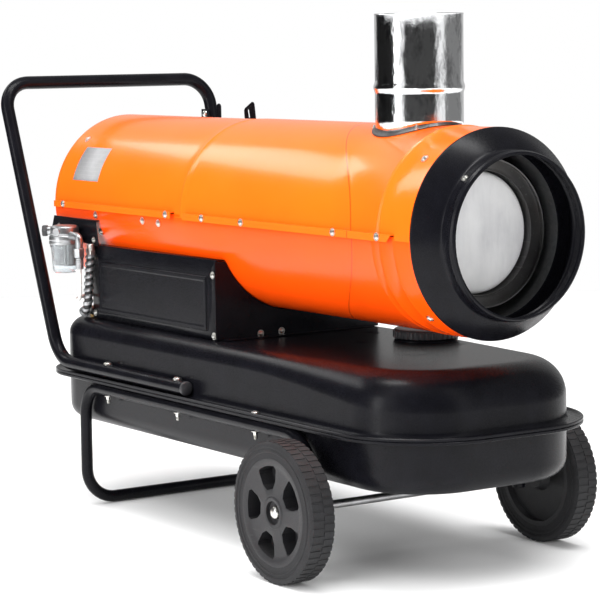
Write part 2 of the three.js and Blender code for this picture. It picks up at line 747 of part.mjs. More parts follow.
function tankUpper() {
  const t = TANK_SHEET;
  const edge = FLANGE_WIDTH;
  const bottom = SEAM_Z + GAP / 2;
  const outer = [
    tankRing(edge, bottom), tankRing(edge, bottom + 4.6), tankRing(edge - 4, bottom + 4.6),
    tankRing(edge - 6, bottom + t), tankRing(3, bottom + t), tankRing(0, bottom + 5), ...shoulderRings(0, 4),
  ];
  const inner = [tankRing(-t, bottom), ...shoulderRings(t, 2)].reverse();
  const pan = loft([...inner, ...outer], planOf);
  const mouth = rod(NECK.r - 2, 280, 320, MID_ROUND, "z").translate(NECK.x, NECK.y, 0);
  const pickup = rod(6.4, 280, 320, 12, "z").translate(-420, -107, 0);
  const gauge = rod(15.2, 280, 320, 16, "z").translate(-405, 92, 0);
  return shape(cut(pan, mouth, pickup, gauge));
}

function tankLower() {
  const t = TANK_SHEET;
  const edge = FLANGE_WIDTH;
  const top = SEAM_Z - GAP / 2;
  const r = 26;
  const round = (wall, steps) => Array.from({ length: steps + 1 }, (_, i) => {
    const angle = (Math.PI / 2) * (i / steps);
    const radius = r - wall;
    const z = TANK_BOTTOM + wall + radius * (1 - Math.sin(angle));
    return tankRing(-wall - radius * (1 - Math.cos(angle)), z);
  });
  const outer = [
    tankRing(edge, top), tankRing(edge, top - 4.6), tankRing(edge - 4, top - 4.6),
    tankRing(edge - 6, top - t), tankRing(3, top - t), tankRing(0, top - 5), ...round(0, 3),
  ];
  const inner = [tankRing(-t, top), ...round(t, 2)].reverse();
  const drain = rod(10, 100, 160, SMALL_ROUND, "z").translate(-330, 60, 0);
  return shape(cut(loft([...inner, ...outer], planOf), drain));
}

// Neck that is welded in the tank's mouth, with the strainer cup below it.
function fillerNeck() {
  const r = NECK.r;
  const profile = [
    [r + 8, 300.4], [r + 8, 301.8], [r, 301.8], [r, 303.6], [r - 1.5, 303.6], [r - 4.2, 300],
    [r - 8.2, 262], [0, 262], [0, 260.8], [r - 7, 260.8], [r - 3, 300.4],
  ];
  return revolve(profile, MID_ROUND, "z");
}

// Seal plate that sits in the neck under the cap.
const capPlug = () => rod(NECK.r - 3.4, 303.4, 308, MID_ROUND, "z");

// Wide low screw cap with grip ribs round its edge.
function fuelCap() {
  const ribs = 16;
  const rim = Array.from({ length: ribs * 2 }, (_, i) => {
    const r = i % 2 ? 48.6 : 50;
    const angle = (i * Math.PI) / ribs;
    return new THREE.Vector2(r * Math.cos(angle), r * Math.sin(angle));
  });
  const skirt = plate(rim, [], 11, "z").translate(0, 0, 304);
  const crown = revolve([
    [0, 314], [48.4, 314], [46, 317.6], [38, 318.4], [30, 316.6], [0, 316.6],
  ], MID_ROUND, "z");
  const hollow = rod(NECK.r + 1.4, 290, 308.4, MID_ROUND, "z");
  const grip = block(-32, 32, -5, 5, 316, 322);
  return shape(cut(join(skirt, crown, grip), hollow));
}

// Float gauge: a dial under a clear boss, with its rod inside the tank.
function fuelGauge() {
  const boss = revolve([
    [0, 303], [16, 303], [17, 307], [21, 307], [21, 300.4], [14.4, 300.4], [14.4, 292], [0, 292],
  ], SMALL_ROUND + 2, "z");
  const stem = rod(3, 160, 294, 6, "z");
  const float = rod(12, 165, 190, 10, "z");
  return shape(join(boss, stem, float));
}

const drainPlug = () => revolve([
  [0, 126], [8, 126], [8, 130.5], [13, 130.5], [13, TANK_BOTTOM - GAP], [9, TANK_BOTTOM - GAP],
  [9, 142], [0, 142],
], SMALL_ROUND, "z");

// Pick-up fitting on the tank, under the hose.
const tankFitting = () => revolve([
  [0, 286], [6, 286], [6, 300.3], [11, 300.3], [11, 308], [8, 309], [8, 314], [0, 314],
], SMALL_ROUND, "z");

// --- Frame, handle and wheels ------------------------------------------------------------------

// One bent tube: front legs, side rails, rear legs and the foot bar.
function frameTube() {
  const half = [
    vec(AXLE_X, -RAIL_Y, 86), vec(AXLE_X, -RAIL_Y, FRAME_Z), vec(FOOT_X, -RAIL_Y, FRAME_Z),
    vec(FOOT_X, -RAIL_Y, FRAME_R * Math.cos(Math.PI / FRAME_SIDES)),
  ];
  const corners = [...half, ...half.map(mirrorY).reverse()];
  const route = bentRoute(corners, [60, 48, 50, 50, 48, 60], 3);
  const bore = rod(AXLE_R + 2 * GAP, -WHEEL_OUTER, WHEEL_OUTER, 8, "y").translate(AXLE_X, 0, WHEEL_R);
  return shape(cut(tube(route, FRAME_R, 1.8, FRAME_SIDES), bore));
}

// One bent tube: rails on the flange, leaning uprights and the grip bar.
function handleTube() {
  const half = [
    vec(HANDLE_FRONT, -RAIL_Y, HANDLE_Z), vec(-406.6, -RAIL_Y, HANDLE_Z), vec(-556, -200.6, 683),
  ];
  const corners = [...half, ...half.map(mirrorY).reverse()];
  return tube(bentRoute(corners, [60, 45, 45, 60], 3), HANDLE_R, 1.8, 10);
}

function handlePlug() {
  return revolve([
    [0, -12], [6.8, -12], [6.8, GAP], [HANDLE_R, GAP], [HANDLE_R, 2.4], [HANDLE_R - 2.2, 4.4], [0, 5],
  ], SMALL_ROUND, "x");
}

// Flat bracket with two upright prongs that a cord is wound on.
function cordBracket() {
  const at = (x, z) => new THREE.Vector2(x, z);
  const outline = [
    at(-548, 630), at(-548, 612), at(-536, 596), at(-392, 594), at(-382, 602), at(-382, 636),
    ...arc(-391.5, 636, 9.5, 0, 180, 6), at(-401, 612), at(-484.5, 612), at(-484.5, 634),
    ...arc(-491, 634, 6.5, 0, 180, 6), at(-497.5, 612), at(-520, 612), at(-528, 630),
  ];
  const slot = [...arc(-391.5, 634, 3.6, 0, 180, 4), ...arc(-391.5, 616, 3.6, 180, 360, 4)];
  return plate(outline, [slot], 2.4, "y").translate(0, RAIL_Y + 1.6, 0);
}

function axle() {
  return rod(AXLE_R, -WHEEL_OUTER + 4.4, WHEEL_OUTER - 4.4, SMALL_ROUND, "y").translate(AXLE_X, 0, WHEEL_R);
}

// Push-on cap over the axle's end. Its outside looks along -Y.
function axleCap() {
  return revolve([
    [AXLE_R + GAP, 6], [AXLE_R + GAP, 1.2], [0, 1.2], [0, -1.4], [5, -0.8], [8, 0.8], [9.4, 3.4], [9.4, 6],
  ], SMALL_ROUND, "y");
}

const spacer = () => pipe(9, 9 - AXLE_R - GAP, -8.4, 8.4, SMALL_ROUND, "y");

// One window of the wheel, between two spokes.
function wheelWindow() {
  const side = (r, angle) => new THREE.Vector2(r * Math.cos(degrees(angle)), r * Math.sin(degrees(angle)));
  const outline = [side(33, -16), side(33, 16), side(46, 25), ...arc(0, 0, 66, 24, -24, 2), side(46, -25)];
  return plate(outline, [], 60, "y").translate(0, 30, 0);
}

// Moulded wheel: a hub, a double web with windows and the rim, about Y. Its outside looks along -Y.
function wheelRim() {
  const half = WHEEL_WIDTH / 2;
  const bore = AXLE_R + GAP;
  const profile = [
    [bore, -half + 9], [10.5, -half + 9], [10.5, -half + 2.4], [64, -half + 3.6], [72, -half + 1.2],
    [RIM_R, -half + 1.2], [RIM_R, half - 1.2], [69, half - 1.2], [68, 2], [24, 2], [18, half - 1],
    [bore, half - 1],
  ];
  const windows = Array.from({ length: WINDOWS }, (_, i) =>
    wheelWindow().rotateY(-degrees(33 + (i * 360) / WINDOWS)));
  return shape(cut(revolve(profile, WHEEL_ROUND, "y"), ...windows));
}

// Solid tyre: side walls with a raised ring each, and a flat tread.
function tyre() {
  const half = WHEEL_WIDTH / 2;
  const bead = RIM_R + GAP;
  const shoulder = [[WHEEL_R - TREAD_EDGE / 2, TREAD_EDGE / 2], [WHEEL_R, TREAD_EDGE]];
  const wall = [[bead, 1], [86, 1], [88, 0], [93, 0], ...shoulder];
  const side = (sign) => wall.map(([r, t]) => [r, sign * (half - t)]);
  return revolve([...side(-1), ...side(1).reverse()], WHEEL_ROUND, "y");
}

// --- Fuel line ---------------------------------------------------------------------------------

// Angle plate behind the filter: its upper flange is screwed to the casing.
function filterBracket() {
  const at = (x, z) => new THREE.Vector2(x, z);
  const outline = [at(-470, 462), at(-470, 432), at(-462, 424), at(-331, 424), at(-335, 462)];
  const face = plate(outline, [], 2, "y").translate(0, -149, 0);
  const flange = block(-470, -335, -150, -CASING_R + 0.4, 460, 462);
  const boss = rod(6, -155.2, -150, 8, "y").translate(FILTER.x, 0, 444);
  return shape(join(face, flange, boss));
}

// Cast head with its port boss at the rear and a shoulder over the bowl.
function filterHead() {
  const top = FILTER.top;
  const body = revolve([
    [0, top], [18, top], [21.5, top - 3], [22.5, top - 17], [25, top - 19], [25, top - 31],
    [14, top - 31], [14, top - 24], [0, top - 24],
  ], MID_ROUND, "z");
  const port = rod(7, 0, 31, 8, "x").rotateZ(Math.PI).translate(0, 0, top - 9);
  return shape(join(body, port)).translate(FILTER.x, FILTER.y, 0);
}

// Clear tapered bowl with its drain knob at the bottom.
function filterBowl() {
  const top = FILTER.top - 31.4;
  return revolve([
    [24.4, top], [24.4, top - 4], [22.6, top - 6], [20.4, top - 40], [17, top - 46], [0, top - 47.5],
    [0, top - 45.4], [15.6, top - 43.6], [18.6, top - 39], [20.6, top - 6], [20.6, top],
  ], SMALL_ROUND + 4, "z").translate(FILTER.x, FILTER.y, 0);
}

// Pleated element inside the bowl.
function filterElement() {
  const pleats = 14;
  const star = Array.from({ length: pleats * 2 }, (_, i) => {
    const r = i % 2 ? 9.5 : 13.4;
    const angle = (i * Math.PI) / pleats;
    return new THREE.Vector2(r * Math.cos(angle), r * Math.sin(angle));
  });
  return plate(star, [], 44, "z").translate(FILTER.x, FILTER.y, FILTER.top - 70);
}

// Elbow at the head's outlet, with its nut and hose ferrule.
function filterElbow() {
  const corner = rod(7, -9, 8, 10, "z");
  const arm = rod(6.4, -23.6, 1, 10, "x");
  const nut = rod(9, -34, -19, 6, "z");
  const neck = rod(5, -20, -8, 8, "z");
  const ferrule = rod(6.6, -53, -33, 10, "z");
  return shape(join(corner, arm, nut, neck, ferrule)).translate(FILTER.x + 49, FILTER.y, FILTER.top - 16);
}

// The clear hose from the elbow to the pick-up fitting.
function fuelHose() {
  const top = vec(FILTER.x + 49, FILTER.y, FILTER.top - 69.4);
  const fitting = vec(-420, -107, 314.4);
  const corners = [top, vec(-342, -178, 334), vec(-380, -168, 330), vec(-420, -107, 338), fitting];
  return tube(bentRoute(corners, [16, 24, 12], 4), 3, 0, 6);
}

// The route of the guarded hose: down from the bracket and round to the rear of the tank top.
function guardRoute() {
  const corners = [vec(-340, -158, 418), vec(-350, -158, 311), vec(-386, -140, 309.4), vec(-385, -100, 310)];
  return bentRoute(corners, [20, 18], 5);
}

const guardedHose = () => tube(guardRoute(), HOSE_R, 0, 7);

// Spring guard: a wire that winds at a steady pitch round the hose's own route.
function guardPoints() {
  const route = new THREE.CatmullRomCurve3(guardRoute(), false, "centripetal");
  const trim = 0.03;
  const length = route.getLength() * (1 - 2 * trim);
  const turnsCount = length / GUARD_PITCH;
  const steps = Math.round(turnsCount * 8);
  const frames = route.computeFrenetFrames(steps, false);
  return Array.from({ length: steps + 1 }, (_, i) => {
    const u = trim + (1 - 2 * trim) * (i / steps);
    const angle = 2 * Math.PI * turnsCount * (i / steps);
    const centre = route.getPointAt(u);
    centre.addScaledVector(frames.normals[i], GUARD_R * Math.cos(angle));
    return centre.addScaledVector(frames.binormals[i], GUARD_R * Math.sin(angle));
  });
}

// Least gap of the wire to itself, from its points at least half a turn apart along it.
function leastGap(points, wire) {
  let least = Infinity;
  for (let i = 0; i < points.length; i++) {
    for (let j = i + 5; j < points.length; j++) {
      least = Math.min(least, points[i].distanceTo(points[j]));
    }
  }
  return least - 2 * wire;
}

function springGuard() {
  const points = guardPoints();
  console.log(`spring guard: least gap to itself ${leastGap(points, GUARD_WIRE).toFixed(2)} mm`);
  return tube(points, GUARD_WIRE, 0, 5);
}

// --- Assembly ----------------------------------------------------------------------------------

const heater = new THREE.Group();

function group(parent, x, y, z) {
  const made = new THREE.Group();
  made.position.set(x, y, z);
  parent.add(made);
  return made;
}

function add(parent, name, geometry, material) {
  const mesh = new THREE.Mesh(geometry, material);
  mesh.name = name;
  parent.add(mesh);
  return mesh;
}

function assembleCasing() {
  const casing = group(heater, 0, 0, AXIS_Z);
  add(casing, "rear_cover", rearCover(), finish.orange);
  add(casing, "front_cover", frontCover(), finish.orange);
  add(casing, "lower_shell", lowerShell(), finish.orange);
  add(casing, "outlet_ring", outletRing(), finish.black);
  add(casing, "end_ring", endRing(), finish.galvanised);
  add(casing, "heat_shield", heatShield(), finish.galvanised);
  add(casing, "exchanger_jacket", exchangerJacket(), finish.galvanised);
  add(casing, "combustion_drum", combustionDrum(), finish.steel);
  add(casing, "drum_end_plate", drumEndPlate(), finish.pale);
  add(casing, "flue_pipe", fluePipe(), finish.bright);
  add(casing, "flue_collar", flueCollar(), finish.bright);
  add(casing, "intake_grille", intakeGrille(), finish.black);
  add(casing, "fan", fan(), finish.aluminium);
  add(casing, "motor", motor(), finish.aluminium);
  add(casing, "motor_bracket", motorBracket(), finish.galvanised);
  add(casing, "fuel_pump", fuelPump(), finish.aluminium);
  add(casing, "bulkhead", bulkhead(), finish.galvanised);
  add(casing, "burner_tube", burnerTube(), finish.steel);
  add(casing, "burner_head", burnerHead(), finish.brass);
}

function assembleBox() {
  add(heater, "control_box", controlBox(), finish.black);
  add(heater, "box_front_plate", boxFrontPlate(), finish.black);
  add(heater, "box_side_panel", sidePanel(), finish.black);
  const turned = group(heater, 0, 0, 0);
  turned.rotation.z = Math.PI;
  add(turned, "control_plate", controlPlate(), finish.black);
  const control = (name, geometry, material, x, z) => {
    const mesh = add(turned, name, geometry, material);
    mesh.position.set(-x, -BOX.half, z);
  };
  control("switch_bezel", switchBezel(), finish.plastic, CONTROLS.switchX, CONTROLS.z);
  control("power_switch", rocker(), finish.red, CONTROLS.switchX, CONTROLS.z);
  control("pilot_lamp", pilotLamp(), finish.red, CONTROLS.lampX, CONTROLS.z);
  control("thermostat_knob", knob(), finish.plastic, CONTROLS.knobX, CONTROLS.z);
  control("reset_button", resetButton(), finish.red, CONTROLS.resetX, CONTROLS.z);
  control("cord_gland", cordGland(), finish.plastic, CONTROLS.glandX, CONTROLS.glandZ);
  const floor = BOX.bottom + BOX_SHEET + GAP;
  add(group(heater, -262, 110, floor), "ignition_transformer", transformer(), finish.black);
}

function assembleTank() {
  add(heater, "tank_upper", tankUpper(), finish.black);
  add(heater, "tank_lower", tankLower(), finish.black);
  const neck = group(heater, NECK.x, NECK.y, 0);
  add(neck, "filler_neck", fillerNeck(), finish.black);
  add(neck, "cap_plug", capPlug(), finish.rubber);
  add(neck, "fuel_cap", fuelCap(), finish.plastic);
  add(group(heater, -405, 92, 0), "fuel_gauge", fuelGauge(), finish.plastic);
  add(group(heater, -330, 60, 0), "drain_plug", drainPlug(), finish.steel);
  add(group(heater, -420, -107, 0), "tank_fitting", tankFitting(), finish.brass);
}

function assembleFrame() {
  add(heater, "frame_tube", frameTube(), finish.black);
  add(heater, "handle_tube", handleTube(), finish.black);
  add(heater, "cord_bracket", cordBracket(), finish.black);
  add(heater, "axle", axle(), finish.steel);
  for (const [side, sign] of [["near", -1], ["far", 1]]) {
    const rail = group(heater, HANDLE_FRONT, sign * RAIL_Y, HANDLE_Z);
    add(rail, `handle_plug_${side}`, handlePlug(), finish.plastic);
    add(group(heater, AXLE_X, sign * 203.5, WHEEL_R), `spacer_${side}`, spacer(), finish.plastic);
    const hub = group(heater, AXLE_X, sign * (WHEEL_OUTER - WHEEL_WIDTH / 2), WHEEL_R);
    hub.rotation.z = sign > 0 ? Math.PI : 0;
    add(hub, `wheel_${side}`, wheelRim(), finish.plastic);
    add(hub, `tyre_${side}`, tyre(), finish.rubber);
    const end = group(heater, AXLE_X, sign * (WHEEL_OUTER - 2.7), WHEEL_R);
    end.rotation.z = hub.rotation.z;
    add(end, `axle_cap_${side}`, axleCap(), finish.bright);
  }
}

function assembleFuelLine() {
  add(heater, "filter_bracket", filterBracket(), finish.black);
  add(heater, "filter_head", filterHead(), finish.aluminium);
  add(heater, "filter_bowl", filterBowl(), finish.clear);
  add(heater, "filter_element", filterElement(), finish.paper);
  add(heater, "filter_elbow", filterElbow(), finish.aluminium);
  add(heater, "fuel_hose", fuelHose(), finish.clear);
  add(heater, "guarded_hose", guardedHose(), finish.rubber);
  add(heater, "spring_guard", springGuard(), finish.steel);
}

assembleCasing();
assembleBox();
assembleTank();
assembleFrame();
assembleFuelLine();

export default heater;
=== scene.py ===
"""Fine pieces, finishes and stage of a wheeled forced air heater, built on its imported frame."""

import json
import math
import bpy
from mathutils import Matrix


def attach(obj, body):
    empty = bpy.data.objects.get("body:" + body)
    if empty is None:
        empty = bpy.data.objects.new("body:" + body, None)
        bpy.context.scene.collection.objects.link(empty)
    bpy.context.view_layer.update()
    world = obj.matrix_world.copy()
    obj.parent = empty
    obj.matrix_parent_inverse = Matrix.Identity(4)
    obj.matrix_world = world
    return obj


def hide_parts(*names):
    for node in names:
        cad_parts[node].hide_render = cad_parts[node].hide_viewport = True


bl_info = {
    "name": "Forced Air Heater",
    "version": (1, 0, 0),
    "blender": (4, 5, 0),
    "location": "View3D > Sidebar > Heater",
    "description": "Builds the sheet metal, tank, wheels and fittings of a forced air heater",
    "category": "Object",
}

import bmesh
import bpy
from mathutils import Matrix, Vector

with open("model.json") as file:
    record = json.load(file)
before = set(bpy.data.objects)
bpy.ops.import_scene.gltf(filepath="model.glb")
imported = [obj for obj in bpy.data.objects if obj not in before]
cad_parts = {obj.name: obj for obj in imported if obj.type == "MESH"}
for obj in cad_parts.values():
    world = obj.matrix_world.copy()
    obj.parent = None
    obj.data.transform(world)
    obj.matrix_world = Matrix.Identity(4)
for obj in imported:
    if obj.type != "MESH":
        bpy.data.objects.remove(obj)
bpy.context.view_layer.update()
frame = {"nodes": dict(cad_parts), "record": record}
SLOTS = {part["node"]: part["material_slot"] for part in frame["record"]["subparts"]}

CHASSIS = "chassis"
AXIS_Z = 483.0
NEAR, FAR = -1, 1
SIDES = ((NEAR, "near"), (FAR, "far"))
SHARP_ANGLE = math.radians(34)
# Pieces that aren't called after their CAD node with _fine behind it.
FINE_NAMES = {"box_front_plate": "box_front_fine", "box_side_panel": "box_panel_fine"}

# ------------------------------
# Settings. Lengths are in metres here, and in millimetres in the functions that draw.


def length(name, description, default):
    return bpy.props.FloatProperty(
        name=name, description=description, default=default, unit="LENGTH", precision=4)


def angle(name, description, default):
    return bpy.props.FloatProperty(
        name=name, description=description, default=math.radians(default), subtype="ANGLE")


def count(name, description, default):
    return bpy.props.IntProperty(name=name, description=description, default=default, min=3)


def colour(name, description, default):
    return bpy.props.FloatVectorProperty(
        name=name, description=description, default=default, subtype="COLOR", size=3, min=0, max=1)


class HeaterCasingSettings(bpy.types.PropertyGroup):
    radius: length("Casing radius", "Outer radius of the drum casing", 0.144)
    sheet: length("Sheet", "Thickness of the casing's sheet", 0.0008)
    lip: length("Lip", "Distance of the covers' lip from the middle", 0.152)
    outlet: length("Outlet radius", "Outer radius of the outlet collar", 0.1147)
    flue: length("Flue radius", "Outer radius of the flue pipe", 0.0626)
    steps: count("Steps", "Steps of a full turn on the large round pieces", 96)


class HeaterTankSettings(bpy.types.PropertyGroup):
    half_width: length("Half width", "Half of the tank's width without its flange", 0.173)
    flange: length("Flange", "Width of the flange round the seam", 0.024)
    top: length("Top", "Height of the tank's top", 0.300)
    bottom: length("Bottom", "Height of the tank's bottom", 0.133)
    cap: length("Cap radius", "Radius of the fuel cap", 0.050)
    ribs: count("Cap ribs", "Grip ribs round the fuel cap", 36)


class HeaterFrameSettings(bpy.types.PropertyGroup):
    frame_radius: length("Frame tube", "Radius of the frame's tube", 0.0095)
    handle_radius: length("Handle tube", "Radius of the handle's tube", 0.011)
    rail: length("Rail", "Distance of the rails from the middle", 0.185)
    sides: count("Sides", "Sides of the tubes' round section", 28)


class HeaterWheelSettings(bpy.types.PropertyGroup):
    radius: length("Wheel radius", "Outer radius of the tyre", 0.100)
    width: length("Wheel width", "Width of the tyre", 0.0405)
    blocks: count("Tread blocks", "Tread blocks in each row", 56)
    windows: count("Windows", "Windows between the spokes", 5)


class HeaterFuelSettings(bpy.types.PropertyGroup):
    hose: length("Hose", "Radius of the clear hose", 0.003)
    wrap: length("Wrap pitch", "Pitch of the spiral guard", 0.011)
    band: length("Wrap band", "Width of the spiral guard's band", 0.006)


class HeaterFinishSettings(bpy.types.PropertyGroup):
    orange: colour("Enamel", "Colour of the covers' enamel", (0.95, 0.125, 0.006))
    # The lower shell's colour is the covers' enamel with painted shade: deeper and redder because
    # the underside gets little light.
    shaded: colour("Shaded enamel", "Colour of the lower shell's enamel", (0.93, 0.075, 0.002))
    black: colour("Black", "Colour of the powder coat", (0.003, 0.003, 0.0042))
    wheels: colour("Wheels", "Colour of the moulded wheels", (0.0062, 0.0062, 0.0075))


class HeaterStageSettings(bpy.types.PropertyGroup):
    azimuth: angle("Azimuth", "Direction of the camera round the heater", 56.2)
    elevation: angle("Elevation", "Height of the camera above the horizon", 6.29)
    roll: angle("Roll", "Tilt of the camera", -0.73)
    distance: length("Distance", "Distance from the camera to its target", 3.60666)
    lens: bpy.props.FloatProperty(
        name="Lens", description="Focal length in millimetres", default=141.1, subtype="NONE")
    floor: colour("Floor", "Colour of the floor", (0.9, 0.9, 0.9))


def mm(metres):
    return metres * 1000.0


def polar(r, degrees):
    """Point of a circle round the origin."""
    a = math.radians(degrees)
    return r * math.cos(a), r * math.sin(a)


def linked(name, data):
    """A new object in the scene's own collection."""
    obj = bpy.data.objects.new(name, data)
    bpy.context.scene.collection.objects.link(obj)
    return obj


def evaluated_mesh(obj):
    """The mesh that an object's modifiers or curve come to."""
    graph = bpy.context.evaluated_depsgraph_get()
    return bpy.data.meshes.new_from_object(obj.evaluated_get(graph))


# ------------------------------
# Mesh tools


def arc(cx, cy, r, start, end, steps):
    """Points of an arc round a centre, from one angle to another in degrees."""
    turn = [math.radians(start + (end - start) * i / steps) for i in range(steps + 1)]
    return [(cx + r * math.cos(a), cy + r * math.sin(a)) for a in turn]


def rounded(corners, radius, steps=5):
    """An outline with its corners rounded. A corner's own radius may follow it."""
    points = []
    for i, corner in enumerate(corners):
        here = Vector(corner[:2])
        r = corner[2] if len(corner) > 2 else radius
        before = (Vector(corners[i - 1][:2]) - here).normalized()
        after = (Vector(corners[(i + 1) % len(corners)][:2]) - here).normalized()
        half = before.angle(after) / 2
        if r <= 0 or half > 1.55:
            points.append(tuple(here))
            continue
        centre = here + (before + after).normalized() * (r / math.sin(half))
        start = here + before * (r / math.tan(half)) - centre
        end = here + after * (r / math.tan(half)) - centre
        for s in range(steps + 1):
            points.append(tuple(centre + start.slerp(end, s / steps)))
    return points


def verts_in(geom):
    return [item for item in geom if isinstance(item, bmesh.types.BMVert)]


def edges_in(geom):
    return [item for item in geom if isinstance(item, bmesh.types.BMEdge)]


def extruded(bm, edges):
    """What comes of drawing loose edges out: new vertices, edges and faces."""
    return bmesh.ops.extrude_edge_only(bm, edges=edges)["geom"]


def chain(bm, points, closed):
    """Vertices through the points and the edges between them."""
    verts = [bm.verts.new(p) for p in points]
    edges = [bm.edges.new(pair) for pair in zip(verts, verts[1:])]
    if closed:
        edges.append(bm.edges.new((verts[-1], verts[0])))
    return verts + edges


def face_outwards(bm, centre=None):
    """Turns an open skin's faces away from a point, or a closed one's outwards."""
    bmesh.ops.recalc_face_normals(bm, faces=bm.faces)
    if centre is None:
        return
    away = sum(f.normal.dot(f.calc_center_median() - Vector(centre)) for f in bm.faces)
    if away < 0:
        bmesh.ops.reverse_faces(bm, faces=bm.faces)


TO_AXIS = {
    "X": Matrix.Identity(4),
    "Y": Matrix.Rotation(math.radians(90), 4, "Z"),
    "Z": Matrix.Rotation(math.radians(-90), 4, "Y"),
}


def spun(profile, steps, axis="X", closed=True, start=0.0, sweep=360.0):
    """A bmesh of (radius, along) pairs turned round an axis through the origin."""
    bm = bmesh.new()
    a = math.radians(start)
    points = [(t, r * math.cos(a), r * math.sin(a)) for r, t in profile]
    full = abs(sweep) >= 360
    bmesh.ops.spin(
        bm, geom=chain(bm, points, closed), cent=(0, 0, 0), axis=(1, 0, 0),
        angle=math.radians(sweep), steps=steps, use_merge=full, use_duplicate=False)
    bmesh.ops.remove_doubles(bm, verts=bm.verts, dist=0.002)
    bmesh.ops.dissolve_degenerate(bm, edges=bm.edges, dist=0.001)
    face_outwards(bm)
    bmesh.ops.transform(bm, matrix=TO_AXIS[axis], verts=bm.verts)
    return bm


def plate(outline, depth, axis="Z"):
    """A flat outline of one thickness, centred on its plane. X: (y, z), Y: (x, z), Z: (x, y)."""
    bm = bmesh.new()
    across = "XYZ".index(axis)

    def lay(u, v):
        point = [u, v]
        point.insert(across, 0)
        return point

    face = bm.faces.new([bm.verts.new(lay(u, v)) for u, v in outline])
    made = bmesh.ops.extrude_face_region(bm, geom=[face])
    step = Vector([depth if i == across else 0 for i in range(3)])
    bmesh.ops.translate(bm, vec=step, verts=verts_in(made["geom"]))
    bmesh.ops.translate(bm, vec=-step / 2, verts=bm.verts)
    bmesh.ops.recalc_face_normals(bm, faces=bm.faces)
    return bm


def block(low, high):
    """A box between two opposite corners."""
    bm = bmesh.new()
    bmesh.ops.create_cube(bm, size=1.0)
    low, high = Vector(low), Vector(high)
    bmesh.ops.scale(bm, vec=high - low, verts=bm.verts)
    bmesh.ops.translate(bm, vec=(low + high) / 2, verts=bm.verts)
    return bm


def moved(bm, offset=(0, 0, 0), turn=None):
    """The same bmesh, turned and then shifted."""
    if turn is not None:
        bmesh.ops.transform(bm, matrix=turn, verts=bm.verts)
    bmesh.ops.translate(bm, vec=offset, verts=bm.verts)
    return bm


def joined(*parts):
    """One bmesh of several, which are used up."""
    whole = bmesh.new()
    for part in parts:
        mesh = bpy.data.meshes.new("part")
        part.to_mesh(mesh)
        part.free()
        whole.from_mesh(mesh)
        bpy.data.meshes.remove(mesh)
    return whole


def repeated(make, places):
    """One bmesh of a small shape at each (position, direction) pair. It is drawn along +Z."""
    parts = []
    for position, direction in places:
        turn = Vector(direction).to_track_quat("Z", "Y").to_matrix().to_4x4()
        parts.append(moved(make(), position, turn))
    return joined(*parts)


def bent_route(corners, radii, steps):
    """Points of straight runs between corners that are rounded to the given radii."""
    corners = [Vector(c) for c in corners]
    points = [corners[0]]
    for i, radius in enumerate(radii, 1):
        into = (corners[i] - corners[i - 1]).normalized()
        out = (corners[i + 1] - corners[i]).normalized()
        turn = into.angle(out)
        start = corners[i] - into * (radius * math.tan(turn / 2))
        side = (out - into * out.dot(into)).normalized()
        for s in range(steps + 1):
            a = turn * s / steps
            along, aside = radius * math.sin(a), radius * (1 - math.cos(a))
            points.append(start + into * along + side * aside)
    return points + [corners[-1]]


def swept(points, radius, sides):
    """A round bar along a route, closed at both ends, as a bmesh."""
    curve = bpy.data.curves.new("route", "CURVE")
    curve.dimensions = "3D"
    curve.bevel_depth = radius
    curve.bevel_resolution = max(1, sides // 4 - 1)
    curve.use_fill_caps = True
    curve.twist_mode = "MINIMUM"
    spline = curve.splines.new("POLY")
    spline.points.add(len(points) - 1)
    for target, point in zip(spline.points, points):
        target.co = (*point, 1)
    holder = linked("route", curve)
    mesh = evaluated_mesh(holder)
    bm = bmesh.new()
    bm.from_mesh(mesh)
    bpy.data.objects.remove(holder)
    bpy.data.curves.remove(curve)
    bpy.data.meshes.remove(mesh)
    bmesh.ops.remove_doubles(bm, verts=bm.verts, dist=0.001)
    face_outwards(bm)
    return bm


def to_metres(bm):
    bmesh.ops.scale(bm, vec=(0.001,) * 3, verts=bm.verts)


def mark_sharp(bm):
    """Shades all faces smooth, with a hard line along each edge that turns more than the limit."""
    for face in bm.faces:
        face.smooth = True
    for edge in bm.edges:
        edge.smooth = not (edge.is_manifold and edge.calc_face_angle(0) > SHARP_ANGLE)


def cut_by(obj, *tools):
    """Cuts solids that are drawn in millimetres out of an object's mesh for good."""
    for tool in tools:
        to_metres(tool)
        mesh = bpy.data.meshes.new("tool")
        tool.to_mesh(mesh)
        tool.free()
        cutter = linked("tool", mesh)
        modifier = obj.modifiers.new("cut", "BOOLEAN")
        modifier.object = cutter
        modifier.solver = "EXACT"
        bpy.context.view_layer.update()
        done = evaluated_mesh(obj)
        obj.modifiers.clear()
        old = obj.data
        obj.data = done
        bpy.data.meshes.remove(old)
        bpy.data.objects.remove(cutter)
        bpy.data.meshes.remove(mesh)


def loose_object(bm, node):
    """An object of a bmesh that is drawn in millimetres, named after its CAD node if it has one."""
    to_metres(bm)
    bm.normal_update()
    mark_sharp(bm)
    name = FINE_NAMES.get(node, f"{node}_fine") if node in SLOTS else node
    mesh = bpy.data.meshes.new(name)
    bm.to_mesh(mesh)
    bm.free()
    return linked(name, mesh)


def settle(obj, node, finish, body=CHASSIS, soft=0.0, wall=0.0, segments=2):
    """Gives an object its finish, its softened edges, its wall and its place on the frame."""
    nodes = [node] if node in SLOTS else []
    if soft:
        bevel = obj.modifiers.new("soft edges", "BEVEL")
        bevel.width = soft / 1000
        bevel.segments = segments
        bevel.limit_method = "ANGLE"
        bevel.angle_limit = SHARP_ANGLE
    if wall:
        solid = obj.modifiers.new("wall", "SOLIDIFY")
        solid.thickness = abs(wall) / 1000
        solid.offset = -1 if wall > 0 else 1
    obj.data.materials.clear()
    obj.data.materials.append(finish_of(finish))
    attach(obj, body)
    if nodes:
        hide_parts(*nodes)
    return obj


